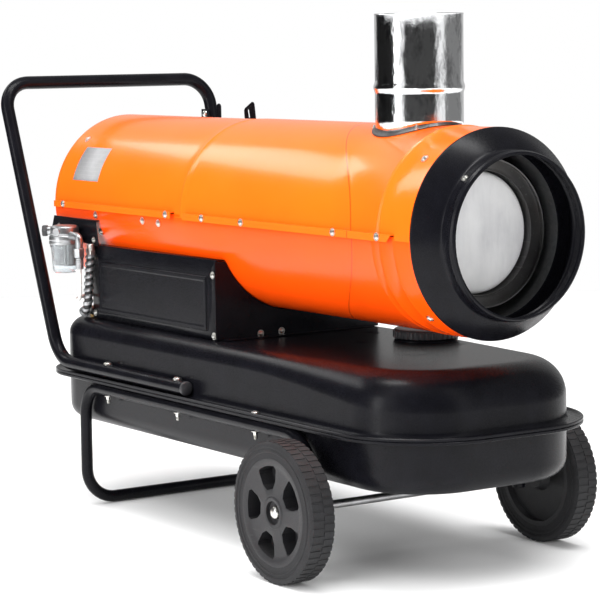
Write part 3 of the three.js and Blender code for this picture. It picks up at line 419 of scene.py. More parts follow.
def place(bm, node, finish, at=(0, 0, 0), turn=None, **settings):
    """Puts a finished bmesh in the scene. It stands for the CAD node whose name it is given."""
    settle(loose_object(moved(bm, at, turn), node), node, finish, **settings)


# ------------------------------
# Finishes


def group_of(name, inputs, outputs):
    """An empty shader node group with named sockets, and whether it still has to be filled."""
    if name in bpy.data.node_groups:
        return bpy.data.node_groups[name], False
    tree = bpy.data.node_groups.new(name, "ShaderNodeTree")
    for label, kind, default in inputs:
        socket = tree.interface.new_socket(name=label, in_out="INPUT", socket_type=kind)
        if default is not None:
            socket.default_value = default
    for label, kind in outputs:
        tree.interface.new_socket(name=label, in_out="OUTPUT", socket_type=kind)
    return tree, True


FLOAT, COLOR, VECTOR = "NodeSocketFloat", "NodeSocketColor", "NodeSocketVector"


class Wiring:
    """Short ways to add and link nodes in one tree."""

    def __init__(self, tree):
        self.tree = tree

    def node(self, kind, **sockets):
        made = self.tree.nodes.new(kind)
        for name, value in sockets.items():
            self.feed(made.inputs[name.replace("_", " ")], value)
        return made

    def feed(self, socket, value):
        if isinstance(value, bpy.types.NodeSocket):
            self.tree.links.new(value, socket)
        else:
            socket.default_value = value

    def math(self, operation, a, b=0.0, clamp=False):
        made = self.tree.nodes.new("ShaderNodeMath")
        made.operation = operation
        made.use_clamp = clamp
        self.feed(made.inputs[0], a)
        self.feed(made.inputs[1], b)
        return made.outputs[0]

    def mix(self, factor, a, b):
        made = self.tree.nodes.new("ShaderNodeMix")
        made.data_type = "RGBA"
        self.feed(made.inputs["Factor"], factor)
        self.feed(made.inputs["A"], a)
        self.feed(made.inputs["B"], b)
        return made.outputs["Result"]

    def noise(self, vector, scale, detail=3.0, roughness=0.55):
        made = self.node("ShaderNodeTexNoise", Vector=vector, Scale=scale, Detail=detail,
                         Roughness=roughness)
        return made.outputs["Fac"]

    def times(self, a, *others, clamp=False):
        """Product of two or more values."""
        for b in others:
            a = self.math("MULTIPLY", a, b, clamp)
        return a

    def ranged(self, value, low, high, to_low=0.0, to_high=1.0):
        made = self.tree.nodes.new("ShaderNodeMapRange")
        for i, item in enumerate((value, low, high, to_low, to_high)):
            self.feed(made.inputs[i], item)
        return made.outputs[0]

    def stretched(self, vector, scale):
        made = self.node("ShaderNodeMapping", Vector=vector)
        made.inputs["Scale"].default_value = scale
        return made.outputs["Vector"]

    def split(self, vector):
        return self.node("ShaderNodeSeparateXYZ", Vector=vector).outputs


def grain_group():
    """Fine grain of a coat or a casting: a height and a mask of the same grain."""
    tree, fresh = group_of(
        "Heater Grain",
        [("Vector", VECTOR, None), ("Scale", FLOAT, 900.0), ("Waves", FLOAT, 25.0),
         ("Wave Height", FLOAT, 0.2)],
        [("Height", FLOAT), ("Mask", FLOAT)])
    if fresh:
        w = Wiring(tree)
        source = w.node("NodeGroupInput").outputs
        fine = w.noise(source["Vector"], source["Scale"], 4.0)
        waves = w.noise(source["Vector"], source["Waves"], 2.0)
        height = w.math("ADD", fine, w.times(waves, source["Wave Height"]))
        sink = w.node("NodeGroupOutput")
        w.feed(sink.inputs["Height"], height)
        w.feed(sink.inputs["Mask"], w.ranged(fine, 0.35, 0.65))
    return tree


def dust_group():
    """Dust that lies on faces that look up, thicker in patches."""
    tree, fresh = group_of(
        "Heater Dust",
        [("Vector", VECTOR, None), ("Colour", COLOR, (0.5, 0.5, 0.5, 1)),
         ("Dust Colour", COLOR, (0.42, 0.4, 0.37, 1)), ("Amount", FLOAT, 0.1)],
        [("Colour", COLOR), ("Mask", FLOAT)])
    if fresh:
        w = Wiring(tree)
        source = w.node("NodeGroupInput").outputs
        normal = w.node("ShaderNodeNewGeometry").outputs["Normal"]
        upward = w.ranged(w.split(normal)["Z"], 0.2, 0.95, 0.15, 1.0)
        patches = w.ranged(w.noise(source["Vector"], 9.0, 6.0, 0.65), 0.35, 0.75, 0.2, 1.0)
        specks = w.ranged(w.noise(source["Vector"], 420.0, 2.0), 0.45, 0.7, 0.4, 1.0)
        mask = w.times(w.times(upward, patches, specks), source["Amount"], clamp=True)
        sink = w.node("NodeGroupOutput")
        w.feed(sink.inputs["Colour"], w.mix(mask, source["Colour"], source["Dust Colour"]))
        w.feed(sink.inputs["Mask"], mask)
    return tree


def scratch_group():
    """Fine marks along one direction, in patches."""
    tree, fresh = group_of(
        "Heater Scratches",
        [("Vector", VECTOR, None), ("Scale", FLOAT, 300.0), ("Density", FLOAT, 0.3)],
        [("Mask", FLOAT)])
    if fresh:
        w = Wiring(tree)
        source = w.node("NodeGroupInput").outputs
        lines = w.noise(w.stretched(source["Vector"], (0.06, 1.0, 1.0)), source["Scale"], 3.0)
        patches = w.ranged(w.noise(source["Vector"], 14.0, 3.0), 0.4, 0.7)
        thin = w.ranged(lines, 0.62, 0.72)
        mask = w.times(w.times(thin, patches), source["Density"], clamp=True)
        w.feed(w.node("NodeGroupOutput").inputs["Mask"], mask)
    return tree


# Distance of the bump of every finish, in metres.
BUMP_DISTANCE = 0.0004


def rgba(values):
    return (*values, 1.0)


def grey(value):
    return (value,) * 3


def scaled(values, factor):
    return [value * factor for value in values]


class Finish:
    """One material: the shader with its plain values, and the common chain of steps."""

    def __init__(self, name, base, roughness, **plain):
        self.material = bpy.data.materials.new(name)
        self.material.use_nodes = True
        self.material.diffuse_color = rgba(base)
        tree = self.material.node_tree
        self.shader = tree.nodes["Principled BSDF"]
        self.w = Wiring(tree)
        for socket, value in plain.items():
            self.shader.inputs[socket.replace("_", " ")].default_value = value
        self.place = self.w.node("ShaderNodeTexCoord").outputs["Object"]
        self.colour = rgba(base)
        self.roughness = roughness
        self.height = None
        self.bump = 0.1

    def group(self, tree, **sockets):
        made = self.w.node("ShaderNodeGroup")
        made.node_tree = tree
        self.w.feed(made.inputs["Vector"], self.place)
        for name, value in sockets.items():
            self.w.feed(made.inputs[name.replace("_", " ")], value)
        return made.outputs

    def mottled(self, other, scale, vector=None):
        """Lets the colour drift towards another one in soft patches."""
        mask = self.w.ranged(self.w.noise(vector or self.place, scale, 4.0), 0.35, 0.7)
        self.colour = self.w.mix(mask, self.colour, rgba(other))
        return self

    def grained(self, scale, height, spread=0.05, waves=25.0, wave_height=0.2):
        """Gives the surface its grain, and lets the roughness follow it."""
        out = self.group(grain_group(), Scale=scale, Waves=waves, Wave_Height=wave_height)
        self.height, self.bump = out["Height"], height
        self.roughness = self.w.ranged(
            out["Mask"], 0.0, 1.0, self.roughness - spread, self.roughness + spread)
        return self

    def dusty(self, amount, dust=(0.42, 0.4, 0.37)):
        """Lays dust on what looks up, and dulls it there."""
        out = self.group(dust_group(), Colour=self.colour, Dust_Colour=rgba(dust), Amount=amount)
        self.colour = out["Colour"]
        dulled = self.w.times(out["Mask"], 0.8)
        self.roughness = self.w.math("ADD", self.roughness, dulled, clamp=True)
        return self

    def scratched(self, other, scale=300.0, density=0.4):
        """Draws fine marks of another colour."""
        mask = self.group(scratch_group(), Scale=scale, Density=density)["Mask"]
        self.colour = self.w.mix(mask, self.colour, rgba(other))
        return self

    def done(self):
        """Links what the chain came to with the shader."""
        self.w.feed(self.shader.inputs["Base Color"], self.colour)
        self.w.feed(self.shader.inputs["Roughness"], self.roughness)
        if self.height is not None:
            bump = self.w.node("ShaderNodeBump", Height=self.height, Distance=BUMP_DISTANCE)
            bump.inputs["Strength"].default_value = self.bump
            self.w.feed(self.shader.inputs["Normal"], bump.outputs["Normal"])
        return self.material


def enamel(name, base, **plain):
    """Bright stoved enamel with the line that sweeps back from the sides' middle."""
    finish = Finish(name, base, 0.2, Coat_Roughness=0.06, **plain).mottled(scaled(base, 0.9), 5.0)
    swept_line(finish.grained(700.0, 0.04, 0.03, waves=14.0, wave_height=0.6))
    return finish


def narrow(w, value, half, strength):
    """A mask of a thin line: strong where the value is within half of nothing."""
    ratio = w.math("DIVIDE", value, half)
    return w.math("DIVIDE", strength, w.math("ADD", 1.0, w.math("POWER", ratio, 4.0)))


def swept_line(finish):
    """A thin dark line with a raised edge beside it, which carries on from shell to shell."""
    w = finish.w
    at = w.split(finish.place)
    level = w.math("ABSOLUTE", w.math("SUBTRACT", at["Z"], AXIS_Z / 1000))
    rise = w.math("POWER", w.math("DIVIDE", level, 0.1453), 2.3)
    off = w.math("SUBTRACT", at["X"], w.math("SUBTRACT", 0.377, w.times(rise, 0.153)))
    finish.colour = w.mix(narrow(w, off, 0.0009, 0.7), finish.colour, (0.16, 0.012, 0.002, 1.0))
    beside = w.math("DIVIDE", w.math("SUBTRACT", off, 0.004), 0.0026)
    ridge = w.math("DIVIDE", 1.0, w.math("ADD", 1.0, w.times(beside, beside)))
    finish.height = w.math("ADD", finish.height, w.times(ridge, 40.0))


def orange_enamel(settings):
    """Enamel of the covers, with a painted contact shadow along the line where the front cover's
    edge lies over the rear cover.
    """
    finish = enamel("orange enamel", settings.orange, Coat_Weight=0.12, Specular_IOR_Level=0.3)
    w = finish.w
    # Painted shadow: a thin dark line just behind the front cover's rear edge, standing in for the
    # shade of its overlap on the rear cover.
    seam = narrow(w, w.math("ADD", w.split(finish.place)["X"], 0.0618), 0.0007, 0.6)
    finish.colour = w.mix(seam, finish.colour, (0.2, 0.015, 0.002, 1.0))
    return finish.dusty(0.04).done()


def shaded_enamel(settings):
    """Enamel of the lower shell: the covers' orange made deeper and redder as painted shade for the
    underside, which gets little light.
    """
    return enamel("deep orange enamel", settings.shaded, Specular_IOR_Level=0.08).dusty(0.02).done()


def black_coat(settings):
    finish = Finish("black powder coat", settings.black, 0.27, Specular_IOR_Level=0.125)
    finish.mottled(scaled(settings.black, 1.6), 30.0)
    return finish.grained(1100.0, 0.16, 0.05, waves=70.0, wave_height=0.6).dusty(0.006).done()


def tyre_rubber(settings):
    finish = Finish("tyre rubber", scaled(settings.wheels, 0.85), 0.72)
    finish.mottled(scaled(settings.wheels, 1.35), 35.0)
    return finish.grained(650.0, 0.5, 0.08).dusty(0.22, (0.2, 0.19, 0.18)).done()


def wheel_plastic(settings):
    finish = Finish("moulded wheel", settings.wheels, 0.52)
    finish.mottled(scaled(settings.wheels, 1.4), 45.0).grained(1000.0, 0.4, 0.08)
    return finish.scratched(grey(0.09), 240.0, 0.3).dusty(0.12, (0.25, 0.24, 0.23)).done()


def chrome_sheet(_):
    """Mirror bright sheet with long shallow waves and dull patches."""
    finish = Finish("chrome sheet", (0.86, 0.87, 0.88), 0.06, Metallic=1.0)
    w = finish.w
    tall = w.stretched(finish.place, (1.0, 1.0, 0.45))
    patches = w.times(w.ranged(w.noise(tall, 48.0, 6.0, 0.7), 0.5, 0.72), 0.85)
    finish.colour = w.mix(patches, finish.colour, (0.2, 0.2, 0.21, 1.0))
    finish.grained(900.0, 0.3, 0.04)
    finish.height = w.math("ADD", finish.height, w.times(w.noise(tall, 30.0, 3.0), 16.0))
    return finish.done()


def galvanised(_):
    """Zinc coat with its flat crystals."""
    finish = Finish("galvanised sheet", (0.46, 0.47, 0.48), 0.38, Metallic=0.9)
    cells = finish.w.node("ShaderNodeTexVoronoi", Vector=finish.place, Scale=160.0)
    tint = finish.w.ranged(cells.outputs["Color"], 0.0, 1.0)
    finish.colour = finish.w.mix(tint, finish.colour, (0.34, 0.35, 0.36, 1.0))
    return finish.grained(500.0, 0.08, 0.07).dusty(0.15).done()


def pale_plate(_):
    """Pale coat that was wiped upwards."""
    finish = Finish("pale coated plate", (0.78, 0.78, 0.79), 0.5)
    wiped = finish.w.stretched(finish.place, (1.0, 1.0, 0.25))
    finish.mottled((0.5, 0.5, 0.52), 34.0, vector=wiped).mottled(grey(0.8), 9.0)
    return finish.grained(420.0, 0.12, 0.1).dusty(0.1).done()


def label_film(_):
    """Bare film with faint rules."""
    finish = Finish("bare label", (0.23, 0.23, 0.235), 0.6, Specular_IOR_Level=0.15)
    finish.mottled((0.27, 0.27, 0.275), 40.0)
    w = finish.w
    at = w.split(finish.place)
    thin = w.math("GREATER_THAN", w.math("FRACT", w.times(at["Z"], 150.0)), 0.86)
    inside = w.math("LESS_THAN", w.math("ABSOLUTE", w.math("ADD", at["X"], 0.390)), 0.036)
    finish.colour = w.mix(w.times(thin, inside, 0.35), finish.colour, rgba(grey(0.3)))
    return finish.grained(300.0, 0.05, 0.05).done()


def common(name, base, roughness, mottled, grained, scratched=None, dusty=None, **plain):
    """Maker of a finish that needs no more than the common chain."""
    def make(_):
        finish = Finish(name, base, roughness, **plain).mottled(*mottled).grained(*grained)
        if scratched:
            finish.scratched(*scratched)
        if dusty:
            finish.dusty(dusty)
        return finish.done()
    return make


FINISH_MAKERS = {
    "orange_paint": orange_enamel, "deep_orange": shaded_enamel, "black_paint": black_coat,
    "tyre_rubber": tyre_rubber, "wheel_plastic": wheel_plastic, "chrome": chrome_sheet,
    "galvanised": galvanised, "pale_plate": pale_plate, "label": label_film,
    "steel": common("rolled steel", (0.42, 0.42, 0.43), 0.34, (grey(0.3), 40.0), (600.0, 0.1, 0.08),
                    scratched=(grey(0.6),), dusty=0.1, Metallic=1.0),
    "heat_steel": common("heat tinted steel", (0.17, 0.17, 0.175), 0.4, ((0.1, 0.095, 0.09), 12.0),
                         (500.0, 0.15, 0.1), scratched=(grey(0.4), 240.0, 0.5), dusty=0.1,
                         Metallic=0.95),
    "bright_steel": common("polished stainless", (0.72, 0.73, 0.74), 0.1,
                           ((0.62, 0.63, 0.64), 30.0), (900.0, 0.12, 0.05, 38.0, 9.0),
                           scratched=(grey(0.5), 500.0, 0.25), Metallic=1.0),
    "screws": common("bright zinc", (0.82, 0.82, 0.8), 0.34, ((0.5, 0.48, 0.42), 300.0),
                     (900.0, 0.08, 0.06), Metallic=1.0),
    "aluminium": common("cast aluminium", (0.52, 0.53, 0.54), 0.36, ((0.4, 0.41, 0.42), 60.0),
                        (700.0, 0.35, 0.1), dusty=0.1, Metallic=1.0),
    "brass": common("turned brass", (0.52, 0.34, 0.12), 0.28, ((0.4, 0.24, 0.08), 70.0),
                    (600.0, 0.1, 0.08), dusty=0.15, Metallic=1.0),
    "seal_rubber": common("black rubber", grey(0.014), 0.6, (grey(0.03), 50.0),
                          (700.0, 0.3, 0.08), dusty=0.12),
    "dark_plastic": common("dark plastic", (0.018, 0.018, 0.02), 0.42, ((0.03, 0.03, 0.033), 40.0),
                           (1000.0, 0.3, 0.06), dusty=0.06),
    "red_plastic": common("red plastic", (0.42, 0.018, 0.012), 0.22, ((0.33, 0.012, 0.01), 80.0),
                          (900.0, 0.06, 0.04), dusty=0.05, Coat_Weight=0.2),
    "clear_plastic": common("clear bowl", (0.86, 0.9, 0.92), 0.08, ((0.78, 0.82, 0.84), 60.0),
                            (300.0, 0.08, 0.04), Transmission_Weight=0.92, IOR=1.3),
    "hose_plastic": common("clear hose", (0.86, 0.86, 0.83), 0.2, ((0.66, 0.65, 0.6), 90.0),
                           (500.0, 0.08, 0.05), Transmission_Weight=0.12),
    "paper": common("filter paper", (0.5, 0.49, 0.49), 0.85, ((0.36, 0.35, 0.35), 120.0),
                    (900.0, 0.3, 0.05)),
}
MADE = {}


def finish_of(name):
    """The material of a finish, which is made once."""
    if name not in MADE:
        MADE[name] = FINISH_MAKERS[name](bpy.context.scene.heater_finish)
    return MADE[name]


# ------------------------------
# Fasteners, drawn along +Z from the surface they sit on


def pan_screw(r=4.2):
    """Pan head with a raised cross and a flat washer."""
    washer = spun([(0, -0.3), (r + 1.7, -0.3), (r + 1.7, 0.7), (0, 0.7)], 20, "Z")
    head = spun([(0, 0.5), (r, 0.5), (r, 1.6), (r * 0.72, 2.9), (r * 0.3, 3.3), (0, 3.3)], 20, "Z")
    slots = [block((-r * 0.62, -0.5, 2.6), (r * 0.62, 0.5, 3.36)),
             block((-0.5, -r * 0.62, 2.6), (0.5, r * 0.62, 3.36))]
    return joined(washer, head, *slots)


def dome_bolt(r):
    """Low dome head."""
    dome = [(0, 0), (r, 0), (r * 0.96, 1.4), (r * 0.76, 3.2), (r * 0.4, 4.4), (0, 4.8)]
    return spun(dome, 28, "Z")


def nut_and_tail(r, tail):
    """Nut with a washer, and the threaded end that stands out of it."""
    washer = spun([(0, 0), (r + 2.2, 0), (r + 2.2, 1.2), (0, 1.2)], 24, "Z")
    nut = spun([(0, 1.1), (r, 1.1), (r, 5.6), (r * 0.88, 6.2), (0, 6.2)], 6, "Z")
    thread = [(0, 6.0)]
    z = 6.0
    while z < tail:
        thread += [(3.0, z), (2.6, z + 0.5)]
        z += 1.0
    thread += [(2.4, tail), (0, tail)]
    return joined(washer, nut, spun(thread, 14, "Z"))


# ------------------------------
# Casing, drawn about its own axis

CASING_REAR, CASING_FRONT = -487.0, 513.0
COVER_JOINT, FLUE_X, FAN_X = -61.0, 342.0, -435.0
LIP_TOP, LIP_DROP, EDGE_DROP = 5.0, 10.0, 8.0


def bead(x, r, height=1.2, half=4.0):
    """Stations of a rounded raised bead round the casing."""
    return [(x + half * t, r + height * math.cos(math.pi * t / 2) ** 2)
            for t in (-1, -0.6, -0.3, 0, 0.3, 0.6, 1)]


def cover_skin(stations, steps, lip_y, lip_from, lip_to, slant):
    """Half drum with the outward step along both sides and the skirt below it."""
    low = math.degrees(math.asin(LIP_TOP / stations[0][1]))
    profile = [(r, x) for x, r in stations]
    bm = spun(profile, steps // 2, closed=False, start=low, sweep=180 - 2 * low)

    def has_lip(edge):
        return all(lip_from - 0.1 < v.co.x < lip_to + 0.1 for v in edge.verts)

    for side in (NEAR, FAR):
        foot = [e for e in bm.edges if e.is_boundary
                and all(v.co.y * side > 0 and v.co.z < LIP_TOP + 0.6 for v in e.verts)]
        for v in verts_in(extruded(bm, [e for e in foot if not has_lip(e)])):
            v.co.z -= EDGE_DROP
        made = extruded(bm, [e for e in foot if has_lip(e)])
        for v in verts_in(made):
            v.co.y = side * lip_y
        outer = [e for e in edges_in(made) if e.is_boundary
                 and all(abs(v.co.y) > lip_y - 0.1 for v in e.verts)]
        for v in verts_in(extruded(bm, outer)):
            v.co.z -= LIP_DROP
            if slant and v.co.x > lip_to - 1:
                v.co.x -= slant
    face_outwards(bm, (0, 0, -40))
    return bm


def walled(bm, wall):
    """A skin with its wall added inwards for good."""
    bmesh.ops.solidify(bm, geom=bm.faces[:], thickness=wall)
    return bm


def saddle_height(r, y):
    """Height of a lying cylinder's skin over its axis."""
    return math.sqrt(r * r - y * y)


class HEATER_OT_casing(bpy.types.Operator):
    """Builds the two covers and the lower shell with their beads, lips and screws."""
    bl_idname = "heater.casing"
    bl_label = "Casing"

    def execute(self, context):
        size = context.scene.heater_casing
        r, lip, sheet = mm(size.radius), mm(size.lip), mm(size.sheet)
        up = (0, 0, AXIS_Z)
        rear = [(CASING_REAR, r - 2.0), (CASING_REAR + 0.8, r - 0.6), (CASING_REAR + 2.4, r),
                (-475, r), (-300, r), (-97, r), *bead(-77, r, 0.9), (-46, r)]
        bm = cover_skin(rear, size.steps, lip, -475, -97, 0)
        place(walled(bm, sheet), "rear_cover", "orange_paint", at=up)
        r_front = r + sheet + 0.5
        front = [(COVER_JOINT, r_front), (150, r_front), (300, r_front),
                 *bead(440, r_front, 1.7, 2.8), (477.5, r_front), (500, r_front + 0.2),
                 (CASING_FRONT, r_front + 0.7)]
        bm = cover_skin(front, size.steps, lip, COVER_JOINT, 477.5, 9)
        cover = loose_object(moved(walled(bm, sheet), up), "front_cover")
        clear = mm(size.flue) + 1
        hole = spun([(0, 100), (clear, 100), (clear, 200), (0, 200)], 72, "Z")
        cut_by(cover, moved(hole, (FLUE_X, 0, AXIS_Z)))
        settle(cover, "front_cover", "orange_paint")
        lower = [(CASING_REAR, r - 1.6), (CASING_REAR + 2.4, r), (0, r), *bead(424, r, 0.7, 3.0),
                 *bead(442, r, 1.4, 3.0), *bead(474, r), (CASING_FRONT, r)]
        profile = [(radius, x) for x, radius in lower]
        bm = spun(profile, size.steps // 2, closed=False, start=0.8, sweep=-181.6)
        face_outwards(bm, (0, 0, 40))
        place(walled(bm, sheet), "lower_shell", "deep_orange", at=up)
        self.screws(r, lip)
        self.label(r)
        return {"FINISHED"}

    def screws(self, r, lip):
        """Screws of the lip, the lower shell and the front edge, on both sides."""
        places = []
        for side in (NEAR, FAR):
            places += [((x, side * lip, AXIS_Z + 1), (0, side, 0))
                       for x in (-443, -111, -4, 106, 343, 447)]
            places += [((x, side * saddle_height(r, AXIS_Z - z), z), (0, side * 144, z - AXIS_Z))
                       for x, z in ((-347, 470), (-196, 469), (-147, 468), (-340, 443))]
        for x, degrees, lift in ((488, 46.4, 1.8), (-450, 47.0, 0.1), (487, -50.0, 0.1)):
            y, z = polar(r + lift, degrees)
            places += [((x, side * y, AXIS_Z + z), (0, side * y, z)) for side in (NEAR, FAR)]
        place(repeated(pan_screw, places), "casing_screws", "screws")

    def label(self, r):
        """Bare label that follows the rear cover."""
        edge = [(r + 0.06, -432), (r + 0.06, -348)]
        bm = spun(edge, 12, closed=False, start=180 - 16.4, sweep=-24.2)
        face_outwards(bm, (-390, 0, 0))
        place(bm, "bare_label", "label", at=(0, 0, AXIS_Z), wall=-0.25)


class HEATER_OT_flue(bpy.types.Operator):
    """Builds the flue pipe and the saddle collar at its foot."""
    bl_idname = "heater.flue"
    bl_label = "Flue"

    def execute(self, context):
        size = context.scene.heater_casing
        r, casing = mm(size.flue), mm(size.radius) + mm(size.sheet) + 0.5
        at = (FLUE_X, 0, AXIS_Z)
        profile = [(r, 150), (r, 152), (r, 170), (r, 188), (r, 190)]
        profile += [(r + 2 * math.sin(math.pi * i / 8), 191 + 1.75 * i) for i in range(1, 8)]
        profile += [(r, 206), (r, 208), (r, 240), (r, 270), (r, 298.5), (r + 0.5, 300),
                    (r + 0.1, 301)]
        bm = spun(profile, size.steps, "Z", closed=False)
        for v in bm.verts:
            if v.co.z < 151:
                v.co.z = saddle_height(casing + 1.4, v.co.y)
        face_outwards(bm, (0, 0, 220))
        place(bm, "flue_pipe", "chrome", at=at, wall=1.2)
        saddle = [(r + 5.0, -0.6), (r + 2.4, 0), (r + 1.0, 0.5), (r + 0.5, 1.2), (r + 0.4, 2.2)]
        bm = spun(saddle, size.steps, "Z", closed=False)
        for v in bm.verts:
            v.co.z += saddle_height(casing + 2.0, v.co.y)
        face_outwards(bm, (0, 0, -200))
        place(bm, "flue_collar", "heat_steel", at=at, wall=1.0)
        places = []
        for degrees in (40, 140, 220, 320):
            x, y = polar(r + 3.2, degrees)
            z = saddle_height(casing + 2.0, y)
            places.append(((FLUE_X + x, y, AXIS_Z + z), (0, y, z)))
        place(repeated(lambda: pan_screw(1.7), places), "collar_screws", "screws")
        return {"FINISHED"}


class HEATER_OT_outlet(bpy.types.Operator):
    """Builds the outlet ring and the round pieces that show inside it."""
    bl_idname = "heater.outlet"
    bl_label = "Outlet"

    def execute(self, context):
        size = context.scene.heater_casing
        steps, at = size.steps, (0, 0, AXIS_Z)
        r, out = mm(size.radius), mm(size.outlet)
        x = CASING_FRONT + 0.3
        ring = [
            (r - 1.6, x - 14), (r - 1.6, x), (r + 1.4, x), (r + 2, x + 0.7), (r + 2, 515.2),
            (r + 1.4, 516.4), (out + 3.2, 539.0), (out + 1.0, 540.6), (out, 543), (out, 556.4),
            (out + 0.9, 558), (out + 1.3, 560), (out + 0.9, 562), (out, 563.4), (out - 0.6, 565.6),
            (out - 2.6, 567), (out - 5, 566.8), (out - 5.2, 565.8), (out - 2.8, 564.8),
            (out - 1.2, 562.6), (out - 1.2, 559), (out - 2.6, 557.4), (out - 1.2, 555.8),
            (out - 1.2, 546.4), (out - 2.6, 544.8), (out - 1.2, 543.2), (out - 1.2, 540.4),
            (r - 2.8, 518.3), (r - 2.8, x - 14),
        ]
        rim = r - 3.3
        end = [(118, 503), (118.6, 502.6), (rim - 2, 503), (rim - 1, 502), (rim - 1, 491),
               (rim, 491), (rim, 502.6), (rim - 1.6, 504),
               (118.6, 504)]
        shield = [(121.8, -152.7), (123, -152.7), (123, 500.4), (122.6, 501), (121.8, 501)]
        jacket = [(102.3, -152.7), (103.5, -152.7), (103.5, 489), (102.9, 491), (101.6, 490.6),
                  (102.3, 484), (88.4, 483.2), (88.4, 482), (102.3, 482)]
        stub = spun([(60, 96), (60, 165), (58.8, 165), (58.8, 96)], 64, "Z")
        drum = [(86.8, -152.7), (88, -152.7), (88, 484), (87.4, 485), (85.4, 485), (85.6, 484.2),
                (86.8, 483.4)]
        dish = [(0, 478.6), (40, 478.0), (66, 476.9), (76, 475.8), (79, 475), (82, 473.4),
                (84.4, 470), (86.2, 462), (85.2, 462), (83.2, 469.4), (81.2, 472.2), (78.4, 473.8),
                (40, 476.6), (0, 477.4)]
        for bm, node, finish in (
                (spun(ring, steps), "outlet_ring", "black_paint"),
                (spun(end, steps), "end_ring", "black_paint"),
                (spun(shield, steps), "heat_shield", "galvanised"),
                (joined(spun(jacket, steps), moved(stub, (FLUE_X, 0, 0))), "exchanger_jacket",
                 "heat_steel"),
                (spun(drum, steps), "combustion_drum", "heat_steel"),
                (spun(dish, steps), "drum_end_plate", "pale_plate")):
            place(bm, node, finish, at=at)
        places = []
        for degrees in (45, 135, 315):
            y, z = polar(out, degrees)
            places.append(((550, y, AXIS_Z + z), (0, y, z)))
        place(repeated(lambda: pan_screw(3.4), places), "ring_screws", "screws")
        return {"FINISHED"}


class HEATER_OT_air_mover(bpy.types.Operator):
    """Builds the intake guard, the fan and the motor behind it."""
    bl_idname = "heater.air_mover"
    bl_label = "Air mover"

    def execute(self, context):
        steps = context.scene.heater_casing.steps
        at = (0, 0, AXIS_Z)
        rings = [spun([(inner, -485), (outer, -485), (outer, -484), (inner, -484)], steps)
                 for inner, outer in ((0, 46), (84, 94), (130, 142))]
        spokes = []
        for i in range(6):
            bar = block((-485, -5.4, 44), (-484, 5.4, 132))
            spokes.append(moved(bar, turn=Matrix.Rotation(math.radians(60 * i + 90), 4, "X")))
        place(joined(*rings, *spokes), "intake_grille", "black_paint", at=at)
        hub = spun([(0, -454), (11, -454), (13.4, -452), (14, -443), (30, -449), (33, -447.6),
                    (33, -420), (31.6, -419), (14, -419), (14, -415), (0, -415)], 48)
        shaft = spun([(0, -461), (5.4, -461), (6, -460.4), (6, -289), (12, -289), (12, -278),
                      (0, -278)], 32)
        blades = [moved(self.blade(), (FAN_X, 0, 0), Matrix.Rotation(math.radians(72 * i), 4, "X"))
                  for i in range(5)]
        place(joined(hub, shaft, *blades), "fan", "aluminium", body="fan_rotor", at=at, soft=0.3)
        body = [(6.6, -398), (18, -398), (20, -392), (46, -390), (58, -386), (62, -379)]
        fins = [(62 - (1.6 if i % 2 else 0), -372 + 4 * i) for i in range(14)]
        tail = [(62, -314), (58, -303), (46, -300), (20, -298), (18, -292), (6.6, -292)]
        place(spun(body + fins + tail, 64), "motor", "aluminium", at=at)
        return {"FINISHED"}

    def blade(self):
        """One blade: a cambered chord line drawn out to the tip while it turns flatter."""
        bm = bmesh.new()
        chord = [(-1.0, -0.5), (-0.6, 0.4), (-0.1, 0.95), (0.45, 0.7), (1.0, -0.5)]

        def station(r):
            t = (r - 26) / 99
            width = 34 + 18 * min(1.0, t * 2.2)
            pitch = math.radians(52 - 28 * t)
            across, along = math.sin(pitch), math.cos(pitch)
            return [(a * width / 2 * across + c * 3 * along,
                     a * width / 2 * along - c * 3 * across, r)
                    for a, c in chord]

        edges = edges_in(chain(bm, station(26), False))
        for r in (40, 56, 74, 92, 110, 122, 124.6):
            made = extruded(bm, edges)
            edges = [e for e in edges_in(made) if all(v in made for v in e.verts)]
            ordered = sorted(verts_in(made), key=lambda v: v.co.y)
            for v, p in zip(ordered, sorted(station(r), key=lambda p: p[1])):
                v.co = p
        bmesh.ops.recalc_face_normals(bm, faces=bm.faces)
        return walled(bm, 1.6)


# ------------------------------
# Control box


BOX_SIDE, CONTROL_Z = 147.0, 366.0


def box_hollow(clear, top):
    """Round hollow in the box's upper edge, clear of the casing all round."""
    rise = top - AXIS_Z
    start = math.degrees(math.atan2(rise, math.sqrt(clear ** 2 - rise ** 2)))
    return arc(0, AXIS_Z, clear, start, -180 - start, 48)


